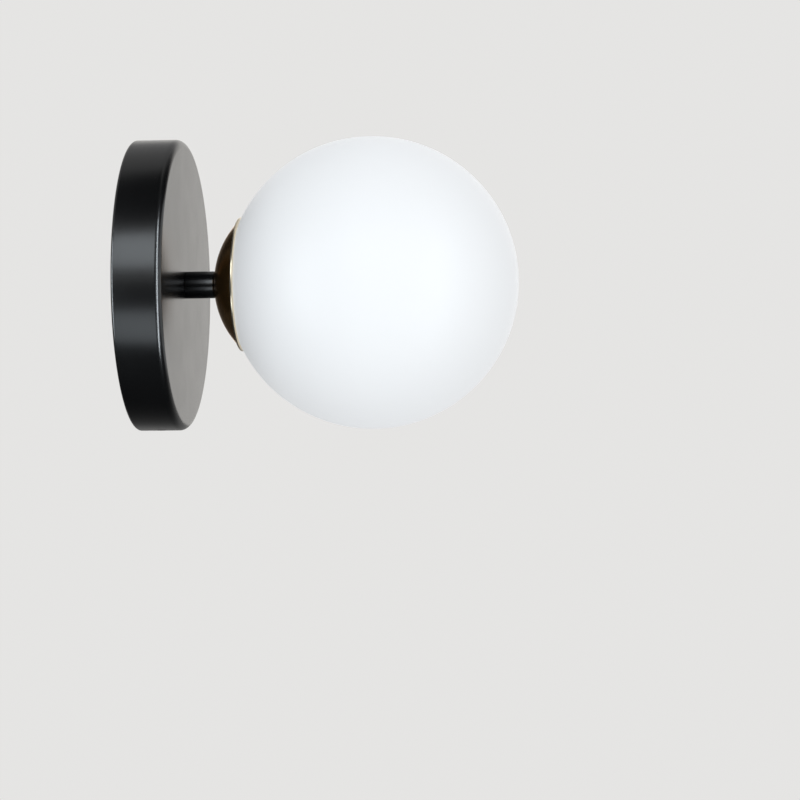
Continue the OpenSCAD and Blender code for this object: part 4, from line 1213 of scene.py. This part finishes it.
back, front, plug_r = span("bulb_insulator")
foot_r = button_r + 0.9 * mm
taper_h = 2.4 * mm
insulator = turned([(foot_r, back), (plug_r, back + taper_h), (plug_r, front)], closed=False)
hand_over(soften(insulator, 0.2 * mm, segments=3, angle=25), "bulb_insulator")

# %% The bulb's body
body_foot_r = 7.8 * mm
plug_depth = 3 * mm
body_wall = 1.5 * mm
back, cover_back, body_r = span("bulb_body")
body_back = back + plug_depth
board_back = span("bulb_led_board")[0]
shoulder = cover_back - 3 * mm
body = turned([(plug_r, back), (plug_r, body_back), (body_foot_r, body_back),
               (body_foot_r + 0.6 * mm, body_back + 1.5 * mm), (body_r - 0.4 * mm, shoulder),
               (body_r, cover_back), (body_r - body_wall, cover_back), (body_r - body_wall, board_back),
               (body_r - 2 * body_wall, board_back), (body_r - 2 * body_wall, shoulder - 1 * mm),
               (plug_r - 0.4 * mm, body_back + 2 * mm), (plug_r - 1 * mm, body_back),
               (plug_r - 1 * mm, back)], vertices=128)
hand_over(soften(body, 0.25 * mm, segments=3, angle=20), "bulb_body")

# %% The bulb's driver
low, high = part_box("bulb_driver")
driver_back, driver_front, _ = span("bulb_driver")
driver_half_t = 0.6 * mm
driver = block((-driver_half_t, low.z, driver_back), (driver_half_t, high.z, driver_front))
capacitor_r = 2.6 * mm
capacitor_len = 9 * mm
parts_at = (body_back + board_back) / 2
from_z, to_z = parts_at - capacitor_len / 2, parts_at + capacitor_len / 2
capacitor = turned([(capacitor_r - 0.5 * mm, from_z), (capacitor_r, from_z + 0.4 * mm),
                    (capacitor_r, from_z + 1.2 * mm), (capacitor_r - 0.3 * mm, from_z + 1.5 * mm),
                    (capacitor_r, from_z + 1.8 * mm), (capacitor_r, to_z - 0.3 * mm),
                    (capacitor_r - 0.4 * mm, to_z)], closed=False, vertices=48)
moved(capacitor, (high.x - capacitor_r, 0, 0))
coil_half_w = 2 * mm
coil_len = 7 * mm
coil = block((low.x, -coil_half_w, parts_at - coil_len / 2),
             (-0.5 * driver_half_t, coil_half_w, parts_at + coil_len / 2))
for piece, width in ((driver, 0.1 * mm), (coil, 0.35 * mm)):
    soften(piece, width, segments=3)
hand_over(joined([driver, capacitor, coil]), "bulb_driver")

# %% The board of diodes
chip_half = 1.4 * mm
chip_rim = 0.35 * mm
chip_well = 0.2 * mm
chip_place_r = 8.5 * mm
board_back, chips_front, board_r = span("bulb_led_board")
board_front = chips_front - chip_t
board = bar(board_r, board_back, board_front, vertices=128)
soften(board, 0.15 * mm)
chip = block((chip_place_r - chip_half, -chip_half, board_front - 2 * hair),
             (chip_place_r + chip_half, chip_half, chips_front))
edit(chip, "FACE")
pick(chip, lambda face: face.normal.z > 0.9)
bpy.ops.mesh.inset(thickness=chip_rim)
bpy.ops.transform.translate(value=(0, 0, -chip_well))
done()
soften(chip, 0.06 * mm)
chips = copies(chip, [(0, 0, 0)] * 8, [(0, 0, i * math.pi / 4) for i in range(8)])
hand_over(joined([board, chips]), "bulb_led_board")

# %% The bulb's cover
cover_wall = 1.2 * mm
cover_back, tip, bulb_r = span("bulb_cover")
belly_at = 12 * mm
past_tip = 3 * mm
blunt_r = 0.2 * mm
widest = cover_back + belly_at
point = tip + past_tip - widest
arc_r = (point ** 2 + bulb_r ** 2) / (2 * bulb_r)
rings_of_cover = []
for i in range(61):
    distance = cover_back + (tip - cover_back) * math.sin(i / 60 * math.pi / 2)
    arc = math.sqrt(arc_r ** 2 - (distance - widest) ** 2) + bulb_r - arc_r
    end = math.sqrt(max((tip - widest) ** 2 - (distance - widest) ** 2, blunt_r ** 2))
    rings_of_cover.append((min(arc, end), distance))
cover = turned(rings_of_cover, closed=False, vertices=128)
edit(cover, "FACE")
pick(cover, lambda face: open_end(face) and face.normal.z < 0)
bpy.ops.mesh.delete(type="ONLY_FACE")
done()
wall(cover, cover_wall)
hand_over(cover, "bulb_cover")

# %% [markdown]
# ## The terminal block
# A white moulding with three brass sleeves. A block is drilled lengthwise for the sleeves and from the wall
# side for the screws. Shallow grooves part its poles, and half-round notches let it be cut off a longer
# strip.

# %% The terminal block
pole_places = (-8 * mm, 0, 8 * mm)
wire_at = 14.5 * mm
sleeve_r = 2.6 * mm
wire_r = 2 * mm
clamp_screw_x = (28.5 * mm, 36.5 * mm)
groove_r = 0.8 * mm
screw_hole_r = 2.1 * mm
notch_r = 1.5 * mm
low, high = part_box("terminal_block")
block_back, block_front, _ = span("terminal_block")
block_mid = (low.x + high.x) / 2
terminals = block((low.x, low.z, block_back), (high.x, high.z, block_front))
soften(terminals, 0.5 * mm, segments=3)
for side in (-1, 1):
    for face_z in (block_back - 0.2 * mm, block_front + 0.2 * mm):
        cut(terminals, rod(groove_r, (block_mid, side * pole_places[2] / 2, face_z), 2 * (high.x - low.x),
                           axis="X", vertices=15))
for up in pole_places:
    cut(terminals, rod(sleeve_r, (block_mid, up, wire_at), 2 * (high.x - low.x), axis="X"))
    for right in clamp_screw_x:
        cut(terminals, rod(screw_hole_r, (right, up, block_back), 2 * (wire_at - block_back)))
for side in (-1, 1):
    cut(terminals, rod(notch_r, (block_mid, side * high.z, block_back), 4 * (block_front - block_back)))
right, up, _ = middle_of("block_screw")
screw_back = span("block_screw")[0]
head_seat = screw_back + block_head_t - block_back
for hole_r, length in ((block_head_r, 2 * head_seat), (block_head_r / 2, 4 * (block_front - block_back))):
    cut(terminals, rod(hole_r + screw_play, (right, up, block_back), length))
hand_over(terminals, "terminal_block", angle=25)

# %% The block's sleeves and screws
low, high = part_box("terminal_sleeves")
wire_depth = 7 * mm
tube_len = high.x - low.x
brass = rod(sleeve_r, ((low.x + high.x) / 2, 0, wire_at), tube_len, axis="X")
for x in (low.x, high.x):
    cut(brass, rod(wire_r, (x, 0, wire_at), 2 * wire_depth, axis="X"))
thread_hole_r = 1.3 * mm
for x in clamp_screw_x:
    cut(brass, rod(thread_hole_r, (x, 0, wire_at - sleeve_r), 2 * sleeve_r))
soften(brass, 0.15 * mm)
hand_over(copies(brass, [(0, up, 0) for up in pole_places]), "terminal_sleeves")

screw = cheese_screw(head_r=1.9 * mm, head_t=1.8 * mm, shank_r=1.25 * mm, shank_len=2.4 * mm, pitch=0.5 * mm)
turned_out, turned_in = 10.75 * mm, 10 * mm
heads = zip(clamp_screw_x, (turned_out, turned_in))
hand_over(copies(screw, [(right, up, at) for right, at in heads for up in pole_places]), "terminal_screws")

# %% [markdown]
# ## The earth lug, the sleeves and the leads
# The lug is a flat ring with a barrel that is crimped on the wire. The crimped sleeves on the leads are
# turned with three shallow grooves. The leads already run smoothly in the CAD, but with eight flat sides. A
# copy of each is merged, and a Subdivision Surface rounds it; its ends are creased, so that they stay flat.

# %% The earth lug
right, up, _ = middle_of("earth_screw")
lug_t = 0.8 * mm
ring_r = 3.8 * mm
barrel_r = 1.6 * mm
wire_bed = 2.7 * mm
low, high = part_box("earth_lug")
lug_back = -low.y - lug_t
barrel_from = up + 5 * mm
barrel_mid = (barrel_from + high.z) / 2
barrel_at = lug_back + lug_t - barrel_r
crimp_r = 0.6 * mm
lug = rod(ring_r, (right, up, lug_back + lug_t / 2), lug_t)
cut(lug, block((right - barrel_r, up, lug_back),
               (right + barrel_r, barrel_from + lug_t / 2, lug_back + lug_t)), "UNION")
cut(lug, rod(barrel_r, (right, barrel_mid, barrel_at), high.z - barrel_from, axis="Y"), "UNION")
cut(lug, rod(earth_screw_r + screw_play, (right, up, lug_back), 5 * lug_t))
cut(lug, rod(lead_hole_r, (right, high.z, barrel_at), 2 * wire_bed, axis="Y"))
cut(lug, rod(crimp_r, (right, barrel_mid, barrel_at - barrel_r - 0.25 * mm), 2 * barrel_r, axis="X"))
hand_over(soften(lug, 0.1 * mm), "earth_lug")

# %% The crimped sleeves
ferrule_r = 1.25 * mm
ferrule_len = 5 * mm
low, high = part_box("lead_ferrules")
sections = [(lead_hole_r, 0), (ferrule_r, 0)]
for crimp in (1.5 * mm, 2.5 * mm, 3.5 * mm):
    for deep, along in ((0, -0.25 * mm), (0.1 * mm, 0), (0, 0.25 * mm)):
        sections.append((ferrule_r - deep, crimp + along))
ferrule = turned(sections + [(ferrule_r, ferrule_len), (lead_hole_r, ferrule_len)], vertices=40)
hand_over(copies(ferrule, [(low.x, up, wire_at) for up in pole_places], [(0, math.pi / 2, 0)] * 3),
          "lead_ferrules")

# %% The leads
lost_by_rounding = 0.08 * mm
for name in ("lead_live", "lead_neutral", "lead_earth"):
    lead = bpy.data.objects.new(name, frame["nodes"][name].data.copy())
    bpy.context.collection.objects.link(lead)
    edit(lead, "EDGE", "SELECT")
    bpy.ops.mesh.customdata_custom_splitnormals_clear()
    bpy.ops.mesh.remove_doubles(threshold=0.001 * mm)
    bpy.ops.mesh.tris_convert_to_quads(face_threshold=math.radians(25), shape_threshold=math.radians(120))
    bpy.ops.transform.shrink_fatten(value=lost_by_rounding)
    bpy.ops.mesh.select_all(action="DESELECT")
    bpy.ops.mesh.edges_select_sharp(sharpness=math.radians(70))
    bpy.ops.transform.edge_crease(value=1)
    done()
    use(lead, "SUBSURF", levels=2, render_levels=2)
    moved(lead, turn=(-math.pi / 2, 0, 0))
    hand_over(lead, name, angle=60)

# %% Finish
low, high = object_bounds()
